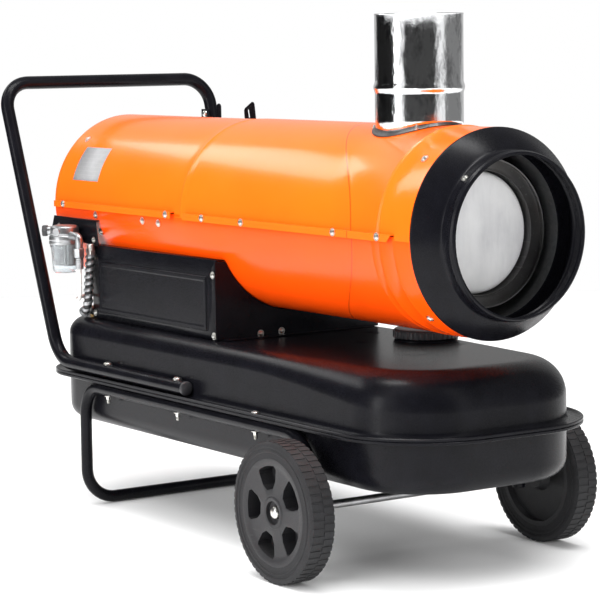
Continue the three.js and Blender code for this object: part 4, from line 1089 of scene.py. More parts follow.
class HEATER_OT_control_box(bpy.types.Operator):
    """Builds the front plate and the pressed side panel of the control box."""
    bl_idname = "heater.control_box"
    bl_label = "Control box"

    def execute(self, context):
        clear = mm(context.scene.heater_casing.radius) + 1.5
        outline = [(-150, 301), (150, 301), (150, 420), *box_hollow(clear, 420), (-150, 420)]
        face = moved(plate(outline, 1.2, "X"), (28.4, 0, 0))
        foot = block((28.8, -137, 301), (43, 137, 302.2))
        place(joined(face, foot), "box_front_plate", "black_paint", soft=0.35)
        self.panel()
        places = [((x, side * BOX_SIDE, z), (0, side, 0)) for side in (NEAR, FAR)
                  for x, z in ((17.5, 399), (19.5, 307), (-350, 401), (-348, 311))]
        places += [((29, y, z), (1, 0, 0)) for y, z in ((-70, 306), (-32, 307))]
        place(repeated(lambda: pan_screw(4.0), places), "box_screws", "screws")
        return {"FINISHED"}

    def panel(self):
        """Near panel: the field is inset and lifted outwards, the top is folded to the drum."""
        bm = bmesh.new()
        corners = [(-355.6, 301), (27.5, 301), (27.5, 422), (-355.6, 422)]
        face = bm.faces.new([bm.verts.new((x, -BOX_SIDE, z)) for x, z in corners])
        bmesh.ops.inset_individual(bm, faces=[face], thickness=14)
        for v, (x, z) in zip(sorted(face.verts, key=lambda v: (round(v.co.z), v.co.x)),
                             [(-331, 313), (1, 313), (-331, 396), (1, 396)]):
            v.co.x, v.co.z = x, z
        bmesh.ops.inset_individual(bm, faces=[face], thickness=1.4)
        bmesh.ops.translate(bm, vec=(0, -3.0, 0), verts=face.verts)
        bmesh.ops.inset_individual(bm, faces=[face], thickness=8)
        bmesh.ops.inset_individual(bm, faces=[face], thickness=1.2)
        bmesh.ops.translate(bm, vec=(0, 1.2, 0), verts=face.verts)
        top = [e for e in bm.edges if e.is_boundary and all(v.co.z > 421 for v in e.verts)]
        for v in verts_in(extruded(bm, top)):
            v.co.y = -131.8
        face_outwards(bm, (-160, -100, 360))
        place(bm, "box_side_panel", "black_paint", soft=1.1, wall=1.2, segments=3)


class HEATER_OT_controls(bpy.types.Operator):
    """Builds the knob, the lamp, the reset button and the cord gland of the far panel."""
    bl_idname = "heater.controls"
    bl_label = "Controls"

    def execute(self, context):
        flutes = [polar(14.6 if i % 4 in (0, 1) else 13.4, 5 * i) for i in range(72)]
        grip = moved(plate(flutes, 14.6, "Y"), (0, 8.4, 0))
        skirt = spun([(0, 0.4), (18.4, 0.4), (19, 1.0), (18.6, 2.4), (14, 3.4), (0, 3.4)], 56, "Y")
        pointer = block((-1.4, 10, -2), (1.4, 16.5, 13.2))
        spindle = spun([(0, -16), (4, -16), (4, 2), (0, 2)], 24, "Y")
        place(joined(grip, skirt, pointer, spindle), "thermostat_knob", "dark_plastic", body="knob",
              at=(-205, BOX_SIDE, CONTROL_Z), soft=0.5)
        lamp = [(0, 7), (2.4, 6.8), (4.2, 5.8), (5.4, 4), (7, 4), (7, 0.3), (4.9, 0.3), (4.9, -14),
                (0, -14)]
        place(spun(lamp, 40, "Y"), "pilot_lamp", "red_plastic", at=(-148, BOX_SIDE, CONTROL_Z))
        button = [(0, 9), (3.6, 9), (4.6, 8.6), (5, 8), (5, -12), (0, -12)]
        place(spun(button, 40, "Y"), "reset_button", "red_plastic", body="reset",
              at=(-262, BOX_SIDE, CONTROL_Z))
        hexagon = spun([(4, 8), (12.4, 8), (13, 7.4), (13, 0.3), (4, 0.3)], 6, "Y")
        dome = spun([(4, 21), (7.5, 21), (9.4, 19.4), (10.5, 17), (10.5, 7.5), (8, 7.5), (8, -10),
                     (4, -10)], 40, "Y")
        place(joined(hexagon, dome), "cord_gland", "dark_plastic", at=(-318, BOX_SIDE, 335),
              soft=0.3)
        return {"FINISHED"}


# ------------------------------
# Fuel tank

TANK_REAR, TANK_FRONT = -451.0, 533.0
SEAM_Z, SEAM_GAP = 212.4, 0.15
DIMPLES = ((94, 91), (182, 10), (328, 2), (287, 110))
NECK = (205.0, 112.0)


def tank_stations(half):
    """Plan of the tank as (centre, direction, radius): a ring is centre + direction * radius."""
    rear, front = 80.0, 120.0
    stations = []

    def corner(cx, cy, r, start, end, steps):
        for i in range(steps + 1):
            a = math.radians(start + (end - start) * i / steps)
            stations.append((Vector((cx, cy)), Vector((math.cos(a), math.sin(a))), r))

    def side(x0, x1, y, way, steps):
        for i in range(1, steps):
            x = x0 + (x1 - x0) * i / steps
            stations.append((Vector((x, y)), Vector((0, way)), 0.0))

    corner(TANK_FRONT - front, half - front, front, 0, 90, 18)
    side(TANK_FRONT - front, TANK_REAR + rear, half, 1, 14)
    corner(TANK_REAR + rear, half - rear, rear, 90, 180, 12)
    corner(TANK_REAR + rear, -half + rear, rear, 180, 270, 12)
    side(TANK_REAR + rear, TANK_FRONT - front, -half, -1, 14)
    corner(TANK_FRONT - front, -half + front, front, 270, 360, 18)
    return stations


def tank_ring(stations, offset, height):
    """Points of the plan at an offset. Offset and height may depend on the place along the tank."""
    points = []
    for centre, way, r in stations:
        x = (centre + way * r).x
        o = offset(x) if callable(offset) else offset
        z = height(x) if callable(height) else height
        at = centre + way * (r + o)
        points.append((at.x, at.y, z))
    return points


def shoulder(x):
    """Radius of the top edge: it grows over the front part of the tank."""
    t = min(1.0, max(0.0, (x - 150) / (TANK_FRONT - 150)))
    return 28 + 26 * t * t * (3 - 2 * t)


def pan(rings, both_ends=False):
    """A skin that is drawn from ring to ring by extruding the last one, and closed at its end."""
    bm = bmesh.new()
    made = chain(bm, rings[0], True)
    verts, edges = verts_in(made), edges_in(made)
    if both_ends:
        bmesh.ops.contextual_create(bm, geom=edges)
    for ring in rings[1:]:
        out = extruded(bm, edges)
        fresh = set(verts_in(out))
        verts = [next(e.other_vert(v) for e in v.link_edges if e.other_vert(v) in fresh)
                 for v in verts]
        for v, p in zip(verts, ring):
            v.co = p
        edges = [e for e in edges_in(out) if all(v in fresh for v in e.verts)]
    bmesh.ops.contextual_create(bm, geom=edges)
    bmesh.ops.recalc_face_normals(bm, faces=bm.faces)
    return bm


class HEATER_OT_tank(bpy.types.Operator):
    """Builds the two pressed tank shells with their flange, and the fittings on the tank."""
    bl_idname = "heater.tank"
    bl_label = "Fuel tank"

    def execute(self, context):
        size = context.scene.heater_tank
        half, edge = mm(size.half_width), mm(size.flange)
        top, bottom = mm(size.top), mm(size.bottom)
        stations = tank_stations(half)

        def ring(offset, height):
            return tank_ring(stations, offset, height)

        # The flange and the foot of the wall: offset from the plan, distance from the seam.
        flange = [(edge - 6, 0), (edge - 0.8, 0), (edge, 0.8), (edge, 3.6), (edge - 1.2, 4.6),
                  (edge - 3.6, 4.4), (edge - 5.6, 2.4), (edge - 7.4, 1.6), (6, 1.6), (2.2, 2.2),
                  (0.4, 4.4), (0, 8)]
        upper = [ring(offset, SEAM_Z + SEAM_GAP + rise) for offset, rise in flange]
        for i in range(11):
            a = math.radians(90 * i / 10)
            upper.append(ring(lambda x, a=a: -shoulder(x) * (1 - math.cos(a)),
                              lambda x, a=a: top - shoulder(x) * (1 - math.sin(a))))
        lower = [ring(offset, SEAM_Z - SEAM_GAP - drop) for offset, drop in flange]
        for i in range(9):
            a = math.radians(90 * i / 8)
            lower.append(ring(-26 * (1 - math.cos(a)), bottom + 26 * (1 - math.sin(a))))
        body = loose_object(self.pressed(upper, top), "tank_upper")
        under = pan(lower)
        face_outwards(under, (0, 0, 170))
        place(under, "tank_lower", "black_paint")
        settle(body, "tank_upper", "black_paint")
        self.fittings(size)
        self.bolts(context)
        return {"FINISHED"}

    def pressed(self, rings, top):
        """Upper shell. Its flat top gets rows of vertices that dip into the pressed dimples."""
        bm = pan(rings)
        face_outwards(bm, (0, 0, 250))
        lid = max(bm.faces, key=lambda f: f.calc_area())
        bmesh.ops.inset_region(bm, faces=[lid], thickness=6)
        cuts = [(x, 0) for x in range(-400, 480, 8)], [(0, y) for y in range(-136, 137, 8)]
        for row, normal in zip(cuts, ((1, 0, 0), (0, 1, 0))):
            for x, y in row:
                flat = [f for f in bm.faces if all(v.co.z > top - 0.05 for v in f.verts)]
                around = {v for f in flat for v in f.verts} | {e for f in flat for e in f.edges}
                bmesh.ops.bisect_plane(bm, geom=[*around, *flat], plane_co=(x, y, top),
                                       plane_no=normal, dist=0.02)
        for v in bm.verts:
            if v.co.z > top - 0.02:
                for x, y in DIMPLES:
                    away = math.hypot(v.co.x - x, v.co.y - y) / 15
                    if away < 1:
                        v.co.z -= 2.2 * math.cos(away * math.pi / 2) ** 2
        return bm

    def fittings(self, size):
        """Neck, plug, cap, float gauge, drain plug and pick-up fitting."""
        at = (*NECK, 0)
        neck = [(48, 300.1), (48, 301.4), (47, 302), (40.6, 302), (40, 302.6), (40, 303.6),
                (38.5, 303.6), (35.8, 300), (31.8, 262), (0, 262), (0, 260.8), (33, 260.8),
                (37, 300.1)]
        place(spun(neck, 64, "Z"), "filler_neck", "black_paint", at=at)
        plug = [(0, 303.4), (36.6, 303.4), (36.6, 308), (0, 308)]
        place(spun(plug, 64, "Z"), "cap_plug", "seal_rubber", body="cap_lift", at=at)
        self.cap(mm(size.cap), size.ribs)
        gauge = spun([(0, 304), (13, 304), (14.6, 304.6), (15.4, 306.6), (17, 307), (20, 307),
                      (21, 306), (21, 300.2), (14.4, 300.2), (14.4, 292),
                      (0, 292)], 48, "Z")
        stem = spun([(0, 160), (3, 160), (3, 294), (0, 294)], 16, "Z")
        place(joined(gauge, stem), "fuel_gauge", "dark_plastic", at=(-405, 92, 0))
        drain = [(0, 126), (7.4, 126), (8, 126.6), (8, 130.5), (13, 130.5), (13, 132.7), (9, 132.7),
                 (9, 142), (0, 142)]
        place(spun(drain, 32, "Z"), "drain_plug", "steel", at=(-330, 60, 0), soft=0.2)
        pick = joined(
            spun([(0, 286), (6, 286), (6, 302), (0, 302)], 24, "Z"),
            spun([(0, 300.3), (11, 300.3), (11, 307.4), (10.4, 308), (0, 308)], 6, "Z"),
            spun([(0, 307), (8, 307), (8, 308), (6.4, 309), (6.4, 310), (7.4, 311), (6.4, 313),
                  (0, 314)], 24, "Z"))
        place(pick, "tank_fitting", "brass", at=(-420, -107, 0), soft=0.2)

    def cap(self, r, ribs):
        """Ribbed cap with a hollow for the neck and a bar to turn it by."""
        outline = [polar(radius, 360 * (i + share) / ribs) for i in range(ribs)
                   for share, radius in ((0.05, r - 1.3), (0.3, r - 1.3), (0.45, r), (0.9, r))]
        skirt = moved(plate(outline, 10.6), (0, 0, 309.5))
        under = min(skirt.faces, key=lambda f: f.calc_center_median().z)
        for height in (304.2, 308.4):
            bmesh.ops.inset_individual(skirt, faces=[under], thickness=0.5)
            for v in under.verts:
                v.co.xy = v.co.xy.normalized() * 41.4
                v.co.z = height
        crown = spun([(0, 312), (r - 1.6, 312), (r - 1.8, 315.4), (r - 3.4, 317.2), (r - 8, 318.2),
                      (38, 318.4), (34, 317.6), (30, 316.7), (0, 316.4)], 72, "Z")
        grip = moved(plate(rounded([(-32, -5), (32, -5), (32, 5), (-32, 5)], 4.6), 6), (0, 0, 319))
        place(joined(skirt, crown, grip), "fuel_cap", "dark_plastic", body="cap_turn",
              at=(*NECK, 0), soft=0.6)

    def bolts(self, context):
        """Bolts through handle, flange and frame on both sides."""
        rail = mm(context.scene.heater_frame.rail)
        heads, tails = [], []
        for side in (NEAR, FAR):
            heads += [((x, side * rail, 238.9), (0, 0, 1)) for x in (-243, -28)]
            heads.append(((190, side * rail, 214.0), (0, 0, 1)))
            tails += [((x, side * rail, 189.0), (0, 0, -1)) for x in (-243, -28, 190)]
        place(repeated(lambda: dome_bolt(7.4), heads), "frame_bolts", "screws")
        place(repeated(lambda: nut_and_tail(3.9, 12.0), tails), "frame_nuts", "screws")


# ------------------------------
# Frame, handle and wheels

AXLE_X, AXLE_Z = 334.0, 100.0
TYRE_FACE = 253.7
RAIL_Z, HANDLE_Z = 198.0, 228.3


class HEATER_OT_frame(bpy.types.Operator):
    """Builds the bent tubes of frame and handle, the cord bracket and the handle's end plugs."""
    bl_idname = "heater.frame"
    bl_label = "Frame and handle"

    def execute(self, context):
        size = context.scene.heater_frame
        rail, r, sides = mm(size.rail), mm(size.frame_radius), size.sides
        leg = [(AXLE_X, -rail, 86), (AXLE_X, -rail, RAIL_Z), (-319, -rail, RAIL_Z),
               (-319, -rail, r)]
        corners = leg + [(x, -y, z) for x, y, z in reversed(leg)]
        place(swept(bent_route(corners, [60, 48, 50, 50, 48, 60], 14), r, sides), "frame_tube",
              "black_paint", soft=0.4)
        rail_end = [(-4, -rail, HANDLE_Z), (-406.6, -rail, HANDLE_Z), (-556, -200.6, 683)]
        corners = rail_end + [(x, -y, z) for x, y, z in reversed(rail_end)]
        place(swept(bent_route(corners, [60, 45, 45, 60], 14), mm(size.handle_radius), sides),
              "handle_tube", "black_paint")
        plug = [(0, -12), (6.8, -12), (6.8, 0.3), (11, 0.3), (11, 2.2), (10.4, 3.4), (8.8, 4.4),
                (0, 5)]
        for side, word in SIDES:
            place(spun(plug, 32), f"handle_plug_{word}", "dark_plastic",
                  at=(-4, side * rail, HANDLE_Z))
        self.bracket(rail)
        return {"FINISHED"}

    def bracket(self, rail):
        """Flat bracket with two prongs for a wound cord, and its bolt."""
        outline = [(-548, 630), (-548, 612), (-536, 596), (-392, 594), (-376, 600), (-372, 612),
                   (-377, 641), (-379, 644), (-383, 645), (-405, 634), (-408, 630), (-406, 612),
                   (-484.5, 612), (-484.5, 634), *arc(-491, 634, 6.5, 0, 180, 12), (-497.5, 612),
                   (-520, 612), (-528, 630)]
        obj = loose_object(moved(plate(outline, 2.4, "Y"), (0, rail + 0.4, 0)), "cord_bracket")
        slot = [*arc(-395, 629, 3.2, -10, 170, 10), *arc(-392.5, 620, 3.2, 170, 350, 10)]
        cut_by(obj, moved(plate(slot, 12, "Y"), (0, rail, 0)))
        settle(obj, "cord_bracket", "black_paint", soft=0.5)
        places = [((-535, rail - 0.8, 622), (0, -1, 0))]
        place(repeated(lambda: dome_bolt(6.0), places), "bracket_bolt", "screws")


class HEATER_OT_wheels(bpy.types.Operator):
    """Builds axle, spacers, hub caps, moulded wheels and treaded tyres."""
    bl_idname = "heater.wheels"
    bl_label = "Wheels"

    def execute(self, context):
        size = context.scene.heater_wheels
        hub = (AXLE_X, 0, AXLE_Z)
        axle = [(0, -249.3), (5.6, -249.3), (6, -248.7), (6, 248.7), (5.6, 249.3), (0, 249.3)]
        place(spun(axle, 32, "Y"), "axle", "steel", at=hub)
        for side, word in SIDES:
            turn = Matrix.Rotation(0 if side < 0 else math.pi, 4, "Z")
            middle = (AXLE_X, side * (TYRE_FACE - mm(size.width) / 2), AXLE_Z)
            body = f"wheel_{word}"
            wheel = loose_object(moved(self.moulding(size), middle, turn), f"wheel_{word}")
            holes = []
            for i in range(size.windows):
                at = Matrix.Rotation(-math.radians(33 + 360 * i / size.windows), 4, "Y")
                holes.append(moved(moved(self.window(), turn=at), middle, turn))
            cut_by(wheel, *holes)
            settle(wheel, body, "wheel_plastic", body=body, soft=0.7)
            place(self.tyre(size), f"tyre_{word}", "tyre_rubber", body=body, at=middle, turn=turn)
            spacer = [(6.3, -8.4), (9, -8.4), (9, 8.4), (6.3, 8.4)]
            place(spun(spacer, 32, "Y"), f"spacer_{word}", "dark_plastic",
                  at=(AXLE_X, side * 203.5, AXLE_Z), soft=0.4)
            cap = [(0, -1.4), (3, -1.2), (6, -0.2), (8, 1.2), (9.2, 3.2), (9.4, 6), (8.6, 6),
                   (6.3, 5), (6.3, 1.4), (0, 1.2)]
            place(spun(cap, 40, "Y"), f"axle_cap_{word}", "screws",
                  at=(AXLE_X, side * (TYRE_FACE - 2.7), AXLE_Z), turn=turn)
        return {"FINISHED"}

    def moulding(self, size):
        """Hub, two webs and rim of a wheel. Its outside looks along -Y."""
        half = mm(size.width) / 2
        profile = [
            (6.3, -half + 9), (15, -half + 9), (16.5, -half + 8), (16.5, -half + 2.2),
            (18.5, -half + 1.6), (21, -half + 1.6), (23, -half + 3.4), (60, -half + 4.6),
            (66, -half + 3.4), (70.5, -half + 1.2), (76, -half + 1.2), (76, half - 1.2),
            (69, half - 1.2), (68, 9.6), (60, 8), (24, 8), (18, half - 1),
            (6.3, half - 1)]
        return spun(profile, 80, "Y")

    def window(self):
        """One window between two spokes."""
        corners = [polar(31, -17), polar(31, 17), polar(44, 25), *arc(0, 0, 65.5, 23, -23, 8),
                   polar(44, -25)]
        turns = (0, 1, 2, 3, 11, 12)  # the corners proper: the rest only draw the outer arc
        marked = [(*point, 4.0 if i in turns else 0) for i, point in enumerate(corners)]
        return moved(plate(rounded(marked, 0, 4), 40, "Y"), (0, -15, 0))

    def tyre(self, size):
        """Side walls with two raised rings, and rows of blocks across the tread."""
        half, r = mm(size.width) / 2, mm(size.radius)
        wall = [(76.3, 1.2), (80, 1.6), (84, 1.6), (85, 0.6), (87, 0.6), (88, 1.6), (90.6, 1.6),
                (91.6, 0.4), (94, 0.4), (96, 1.2), (r - 2.2, 2.0), (r - 0.9, 3.6)]
        section = [(a, -(half - t)) for a, t in wall] + [(a, half - t) for a, t in reversed(wall)]
        body = spun(section, 96, "Y")
        blocks = []
        for row, shift in ((-1, 0.0), (1, 0.5)):
            for i in range(size.blocks):
                a = math.degrees(2 * math.pi * (i + shift) / size.blocks)
                width = r * math.pi / size.blocks * 0.74
                y0, y1 = sorted((row * 1.2, row * (half - 2.2)))
                one = block((-width, y0, r - 3.0), (width, y1, r - 0.06))
                top = [v for v in one.verts if v.co.z > r - 1]
                bmesh.ops.scale(one, vec=(0.88, 0.97, 1.0), verts=top)
                blocks.append(moved(one, turn=Matrix.Rotation(math.radians(a), 4, "Y")))
        return joined(body, *blocks)


# ------------------------------
# Fuel line

FILTER = Vector((-391.0, -178.0, 453.0))
PORT_TURN = Matrix.Rotation(math.radians(233), 4, "Z")


def hose_route():
    """Route of the clear hose from the elbow to the pick-up fitting."""
    corners = [FILTER + Vector((49, 0, -69.4)), (-342, -178, 334), (-380, -168, 330),
               (-420, -107, 338),
               (-420, -107, 314.4)]
    return bent_route(corners, [16, 24, 12], 12)


def guard_route():
    """Route of the guarded hose from the bracket down to the tank's rear."""
    corners = [(-340, -158, 418), (-352, -160, 311), (-393, -148, 309.6), (-385, -100, 310)]
    return bent_route(corners, [24, 18], 14)


# Section of the guard's band: how far out of its middle radius, and which way along the route.
BAND_SECTION = ((-0.7, -1), (0.2, -1), (0.7, -0.5), (0.7, 0.5), (0.2, 1), (-0.7, 1))


def wound_ribbon(points, radius, pitch, band, per_turn=20, trim=0.03):
    """A flat band that winds round a route at a steady pitch, in a frame carried along it."""
    lengths = [0.0]
    for a, b in zip(points, points[1:]):
        lengths.append(lengths[-1] + (b - a).length)
    total = lengths[-1]
    steps = int(total * (1 - 2 * trim) / pitch * per_turn)
    across = None
    rings, i = [], 0
    for s in range(steps + 1):
        reach = total * (trim + (1 - 2 * trim) * s / steps)
        while i + 2 < len(lengths) and lengths[i + 1] < reach:
            i += 1
        way = (points[i + 1] - points[i]).normalized()
        centre = points[i].lerp(points[i + 1], (reach - lengths[i]) / (lengths[i + 1] - lengths[i]))
        across = way.orthogonal() if across is None else across - way * across.dot(way)
        across.normalize()
        a = 2 * math.pi * s / per_turn
        out = across * math.cos(a) + way.cross(across) * math.sin(a)
        rings.append([centre + out * (radius + lift) + way * (band * side / 2)
                      for lift, side in BAND_SECTION])
    return pan(rings, both_ends=True)


class HEATER_OT_fuel_line(bpy.types.Operator):
    """Builds the filter with its bracket, the hoses and the spiral guard."""
    bl_idname = "heater.fuel_line"
    bl_label = "Fuel line"

    def execute(self, context):
        size = context.scene.heater_fuel
        self.filter()
        place(swept(hose_route(), mm(size.hose), 16), "fuel_hose", "hose_plastic")
        place(swept(guard_route(), 6.4, 20), "guarded_hose", "seal_rubber")
        ribbon = wound_ribbon(guard_route(), 7.4, mm(size.wrap), mm(size.band))
        place(ribbon, "spring_guard", "galvanised")
        ends = [spun([(0, -4), (6.4, -4), (6.4, 6), (5.4, 7), (0, 7)], 28, "Z"),
                spun([(0, -10), (8, -10), (8, -3.6), (0, -3.6)], 6, "Z")]
        place(moved(joined(*ends), (-340, -158, 417)), "guarded_hose_end", "screws", soft=0.3)
        self.bracket()
        return {"FINISHED"}

    def bracket(self):
        """Folded plate that holds the filter, with its boss and screws."""
        face = plate(rounded([(-478, 464), (-494, 426), (-326, 420), (-336, 462)], 2), 2, "Y")
        flange = block((-470, -150, 460), (-335, -143.8, 462))
        boss = spun([(0, -155.2), (6, -155.2), (6, -150), (0, -150)], 28, "Y")
        parts = joined(moved(face, (0, -150, 0)), flange, moved(boss, (FILTER.x, 0, 444)))
        place(parts, "filter_bracket", "black_paint", soft=0.5)
        places = [((x, -151, z), (0, -1, 0)) for x, z in ((-460, 446), (-342, 430))]
        place(repeated(lambda: pan_screw(3.4), places), "bracket_screws", "screws")

    def filter(self):
        """Cast head, clear bowl with its element, and the elbow with nut and ferrule."""
        body = spun([(0, 0), (16, 0), (19, -0.6), (21.8, -2.2), (23, -4), (24, -14), (23.4, -14.8),
                     (23.4, -16.4), (24.6, -17.2), (25.4, -19), (25.4, -24), (24.8, -24.6),
                     (24.8, -25.8), (25.6, -26.6), (25.6, -30.4), (25, -31), (14, -31), (14, -24),
                     (0, -24)], 56, "Z")
        port = moved(spun([(0, 0), (7, 0), (7, 30), (0, 30)], 32), (0, 0, -9), PORT_TURN)
        stopper = spun([(0, 28), (9.4, 28), (10, 29), (10, 35), (8.6, 36.4), (0, 36.4)], 6)
        place(moved(stopper, (0, 0, -9), PORT_TURN), "filter_stopper", "dark_plastic", at=FILTER,
              soft=0.4)
        boss = moved(spun([(0, 0), (7.4, 0), (7.4, 23.4), (6.6, 24.4), (0, 24.4)], 32, "Y"),
                     (0, 0, -10),
                     Matrix.Rotation(math.radians(205), 4, "Z"))
        arm = moved(spun([(0, 0), (7, 0), (7, 26), (0, 26)], 32), (0, 0, -16))
        place(joined(body, port, boss, arm), "filter_head", "aluminium", at=FILTER, soft=0.4)
        top = -31.4
        bowl = [(24.4, top), (24.4, top - 3.4), (23.8, top - 4.4), (22.6, top - 6),
                (20.4, top - 40), (19.4, top - 43.6), (17, top - 46), (6, top - 47.2),
                (0, top - 47.5), (0, top - 45.4), (15.6, top - 43.6), (18.6, top - 39),
                (20.6, top - 6), (20.6, top)]
        place(spun(bowl, 56, "Z"), "filter_bowl", "clear_plastic", at=FILTER)
        pleats = []
        for i in range(20):
            pleats += [polar(13.4, 18 * i), polar(17.6, 18 * i + 8.9954)]
        element = moved(plate(pleats, 36), (0, 0, -47))
        caps = [spun([(0, z), (17.8, z), (17.8, z + 2), (0, z + 2)], 32, "Z") for z in (-31, -66)]
        place(joined(element, *caps), "filter_element", "paper", at=FILTER)
        elbow = swept(bent_route([(26, 0, 0), (49, 0, 0), (49, 0, -20)], [8], 10), 6.4, 24)
        nut = spun([(0, -34), (8.4, -34), (9, -33.4), (9, -19.6), (8.4, -19), (0, -19)], 6, "Z")
        ferrule = [(0, -53), (5.6, -53)]
        for i in range(6):
            ferrule += [(6.6, -51.6 + 3 * i), (6.6, -50.4 + 3 * i), (5.8, -49.8 + 3 * i)]
        ferrule = spun(ferrule + [(5.8, -33), (0, -33)], 28, "Z")
        fitting = joined(elbow, moved(nut, (49, 0, 0)), moved(ferrule, (49, 0, 0)))
        place(fitting, "filter_elbow", "aluminium", at=FILTER + Vector((0, 0, -16)), soft=0.3)


# ------------------------------
# Finishes of the frame's own nodes, and the stage


class HEATER_OT_carried_nodes(bpy.types.Operator):
    """Gives each CAD node that still shows the finish of its slot."""
    bl_idname = "heater.carried_nodes"
    bl_label = "Carried nodes"

    def execute(self, context):
        for name, node in frame["nodes"].items():
            if node.hide_render:
                continue
            node.data.materials.clear()
            node.data.materials.append(finish_of(SLOTS[name]))
        return {"FINISHED"}


MIDDLE = (0.03, 0, 0.36)
CAMERA_TARGET = Vector((0.0331, 0, 0.3525))
# Soft lights: name, place, target, width, height, power, whether they show in reflections, and
# the direction of the width of one that hangs overhead.
PANELS = (
    ("key", (1.6, -3.6, 1.3), MIDDLE, 2.4, 1.6, 140, False, None),
    ("rear", (-2.6, -1.1, 2.4), MIDDLE, 2.2, 0.6, 18, True, None),
    ("top strip", (0.5, -0.15, 2.95), (0.5, -0.15, 0), 2.8, 0.34, 62, True, (2.2, 1.7, 0)),
    ("side strip", (-0.1, -4.0, 1.1), MIDDLE, 0.3, 2.4, 30, True, None),
    ("front", (4.2, 0.4, 1.3), MIDDLE, 1.2, 1.2, 44, False, None),
)
# Walls of the room that the object mirrors: from and to, in degrees from +X, and brightness.
WALLS = ((-178, -104, 0.015), (-104, -76, 1.1), (-76, 12, 0.06), (12, 35, 1.0), (104, 178, 0.55))
BARE_WALL = 0.22


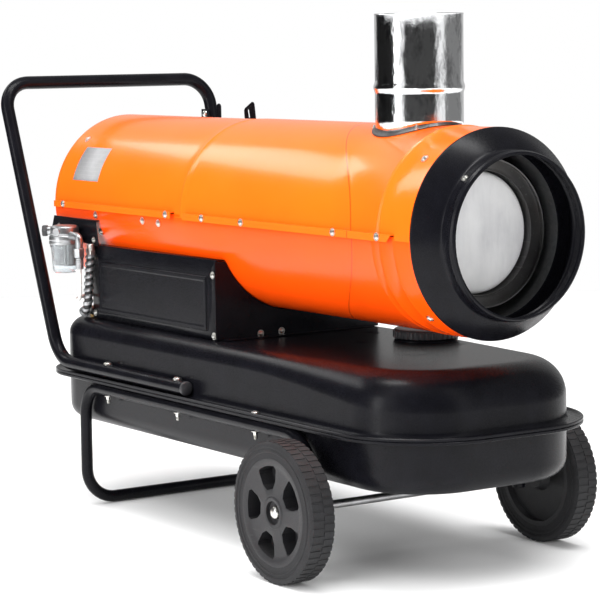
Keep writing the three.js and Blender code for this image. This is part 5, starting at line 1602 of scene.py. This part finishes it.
class HEATER_OT_stage(bpy.types.Operator):
    """Sets the floor, the lights, the surroundings and the camera."""
    bl_idname = "heater.stage"
    bl_label = "Stage"

    def execute(self, context):
        size = context.scene.heater_stage
        self.floor(size)
        self.surroundings(context)
        self.sky_light()
        for name, at, target, width, height, power, mirrored, along in PANELS:
            self.panel(name, at, target, width, height, power, mirrored, along)
        self.camera(context, size)
        context.scene.view_settings.view_transform = "Standard"
        context.scene.view_settings.look = "None"
        return {"FINISHED"}

    def floor(self, size):
        """Round pale floor just under the wheels."""
        bm = bmesh.new()
        bmesh.ops.create_circle(bm, cap_ends=True, segments=128, radius=3.4)
        mesh = bpy.data.meshes.new("floor")
        bm.to_mesh(mesh)
        bm.free()
        obj = linked("floor", mesh)
        obj.location.z = -0.0006
        finish = Finish("pale floor", size.floor, 0.6)
        mesh.materials.append(finish.mottled(scaled(size.floor, 0.985), 1.5).done())

    def surroundings(self, context):
        """Pale world for the camera, and a room of bright and dark walls for the reflections."""
        world = bpy.data.worlds.new("studio")
        context.scene.world = world
        world.use_nodes = True
        w = Wiring(world.node_tree)
        background = world.node_tree.nodes["Background"]
        way = w.node("ShaderNodeTexCoord").outputs["Generated"]
        x, y, z = w.split(way)[:3]
        walls = self.walls(w, w.math("ARCTAN2", y, x))
        above = w.ranged(z, 0.75, 0.97)
        room = w.math("ADD", w.times(walls, w.math("SUBTRACT", 1.0, above)), w.times(above, 0.4))
        seen = w.node("ShaderNodeLightPath").outputs["Is Camera Ray"]
        level = w.math("ADD", seen, w.times(w.math("SUBTRACT", 1.0, seen), room))
        w.feed(background.inputs["Strength"], level)
        background.inputs["Color"].default_value = (1.0, 1.0, 1.0, 1.0)

    def walls(self, w, bearing):
        """Brightness of the walls in a direction, with soft edges between them."""
        level = BARE_WALL
        for start, end, bright in WALLS:
            rise = w.ranged(bearing, math.radians(start - 1.5), math.radians(start + 1.5))
            fall = w.ranged(bearing, math.radians(end - 1.5), math.radians(end + 1.5), 1.0, 0.0)
            inside = w.times(rise, fall)
            kept = w.times(level, w.math("SUBTRACT", 1.0, inside))
            level = w.math("ADD", kept, w.times(inside, bright))
        return level

    def sky_light(self):
        """Wide soft light from above, which leaves no highlight of its own."""
        light = bpy.data.lights.new("overhead", "SUN")
        light.energy, light.angle = 3.3, math.radians(70)
        obj = linked("overhead", light)
        obj.visible_glossy = False
        obj.rotation_euler = (math.radians(14), math.radians(4), 0)

    def panel(self, name, at, target, width, height, power, mirrored, along):
        """A soft rectangular light that looks at its target."""
        light = bpy.data.lights.new(name, "AREA")
        light.shape = "RECTANGLE"
        light.size, light.size_y, light.energy = width, height, power
        obj = linked(name, light)
        obj.visible_glossy = mirrored
        back = (Vector(at) - Vector(target)).normalized()
        side = Vector(along).normalized() if along else Vector((0, 0, 1)).cross(back).normalized()
        turn = Matrix((side, back.cross(side), back)).transposed().to_4x4()
        turn.translation = Vector(at)
        obj.matrix_world = turn

    def camera(self, context, size):
        """Camera at the photo's angle."""
        a, e, roll = size.azimuth, size.elevation, size.roll
        back = Vector((math.sin(a) * math.cos(e), -math.cos(a) * math.cos(e), math.sin(e)))
        right = Vector((0, 0, 1)).cross(back).normalized()
        up = back.cross(right)
        across = right * math.cos(roll) + up * math.sin(roll)
        upward = up * math.cos(roll) - right * math.sin(roll)
        pose = Matrix((across, upward, back)).transposed().to_4x4()
        pose.translation = CAMERA_TARGET + back * size.distance
        data = bpy.data.cameras.new("camera")
        data.sensor_width = 36
        data.lens = size.lens
        data.clip_start, data.clip_end = 0.05, 200
        obj = linked("camera", data)
        obj.matrix_world = pose
        context.scene.camera = obj


OPERATORS = (
    HEATER_OT_casing, HEATER_OT_flue, HEATER_OT_outlet, HEATER_OT_air_mover, HEATER_OT_control_box,
    HEATER_OT_controls, HEATER_OT_tank, HEATER_OT_frame, HEATER_OT_wheels, HEATER_OT_fuel_line,
    HEATER_OT_carried_nodes, HEATER_OT_stage,
)
SETTINGS = {
    "heater_casing": HeaterCasingSettings, "heater_tank": HeaterTankSettings,
    "heater_frame": HeaterFrameSettings, "heater_wheels": HeaterWheelSettings,
    "heater_fuel": HeaterFuelSettings, "heater_finish": HeaterFinishSettings,
    "heater_stage": HeaterStageSettings,
}


class HEATER_PT_panel(bpy.types.Panel):
    """Settings and builders of the heater."""
    bl_idname = "HEATER_PT_panel"
    bl_label = "Forced Air Heater"
    bl_space_type = "VIEW_3D"
    bl_region_type = "UI"
    bl_category = "Heater"

    def draw(self, context):
        for name, group in SETTINGS.items():
            box = self.layout.box()
            for prop in group.__annotations__:
                box.prop(getattr(context.scene, name), prop)
        for operator in OPERATORS:
            self.layout.operator(operator.bl_idname)


def register():
    for group in SETTINGS.values():
        bpy.utils.register_class(group)
    for name, group in SETTINGS.items():
        setattr(bpy.types.Scene, name, bpy.props.PointerProperty(type=group))
    for operator in OPERATORS:
        bpy.utils.register_class(operator)
    bpy.utils.register_class(HEATER_PT_panel)


def unregister():
    bpy.utils.unregister_class(HEATER_PT_panel)
    for operator in reversed(OPERATORS):
        bpy.utils.unregister_class(operator)
    for name, group in SETTINGS.items():
        delattr(bpy.types.Scene, name)
        bpy.utils.unregister_class(group)


def main():
    register()
    for operator in OPERATORS:
        family, name = operator.bl_idname.split(".")
        getattr(getattr(bpy.ops, family), name)()


if __name__ == "__main__":
    main()
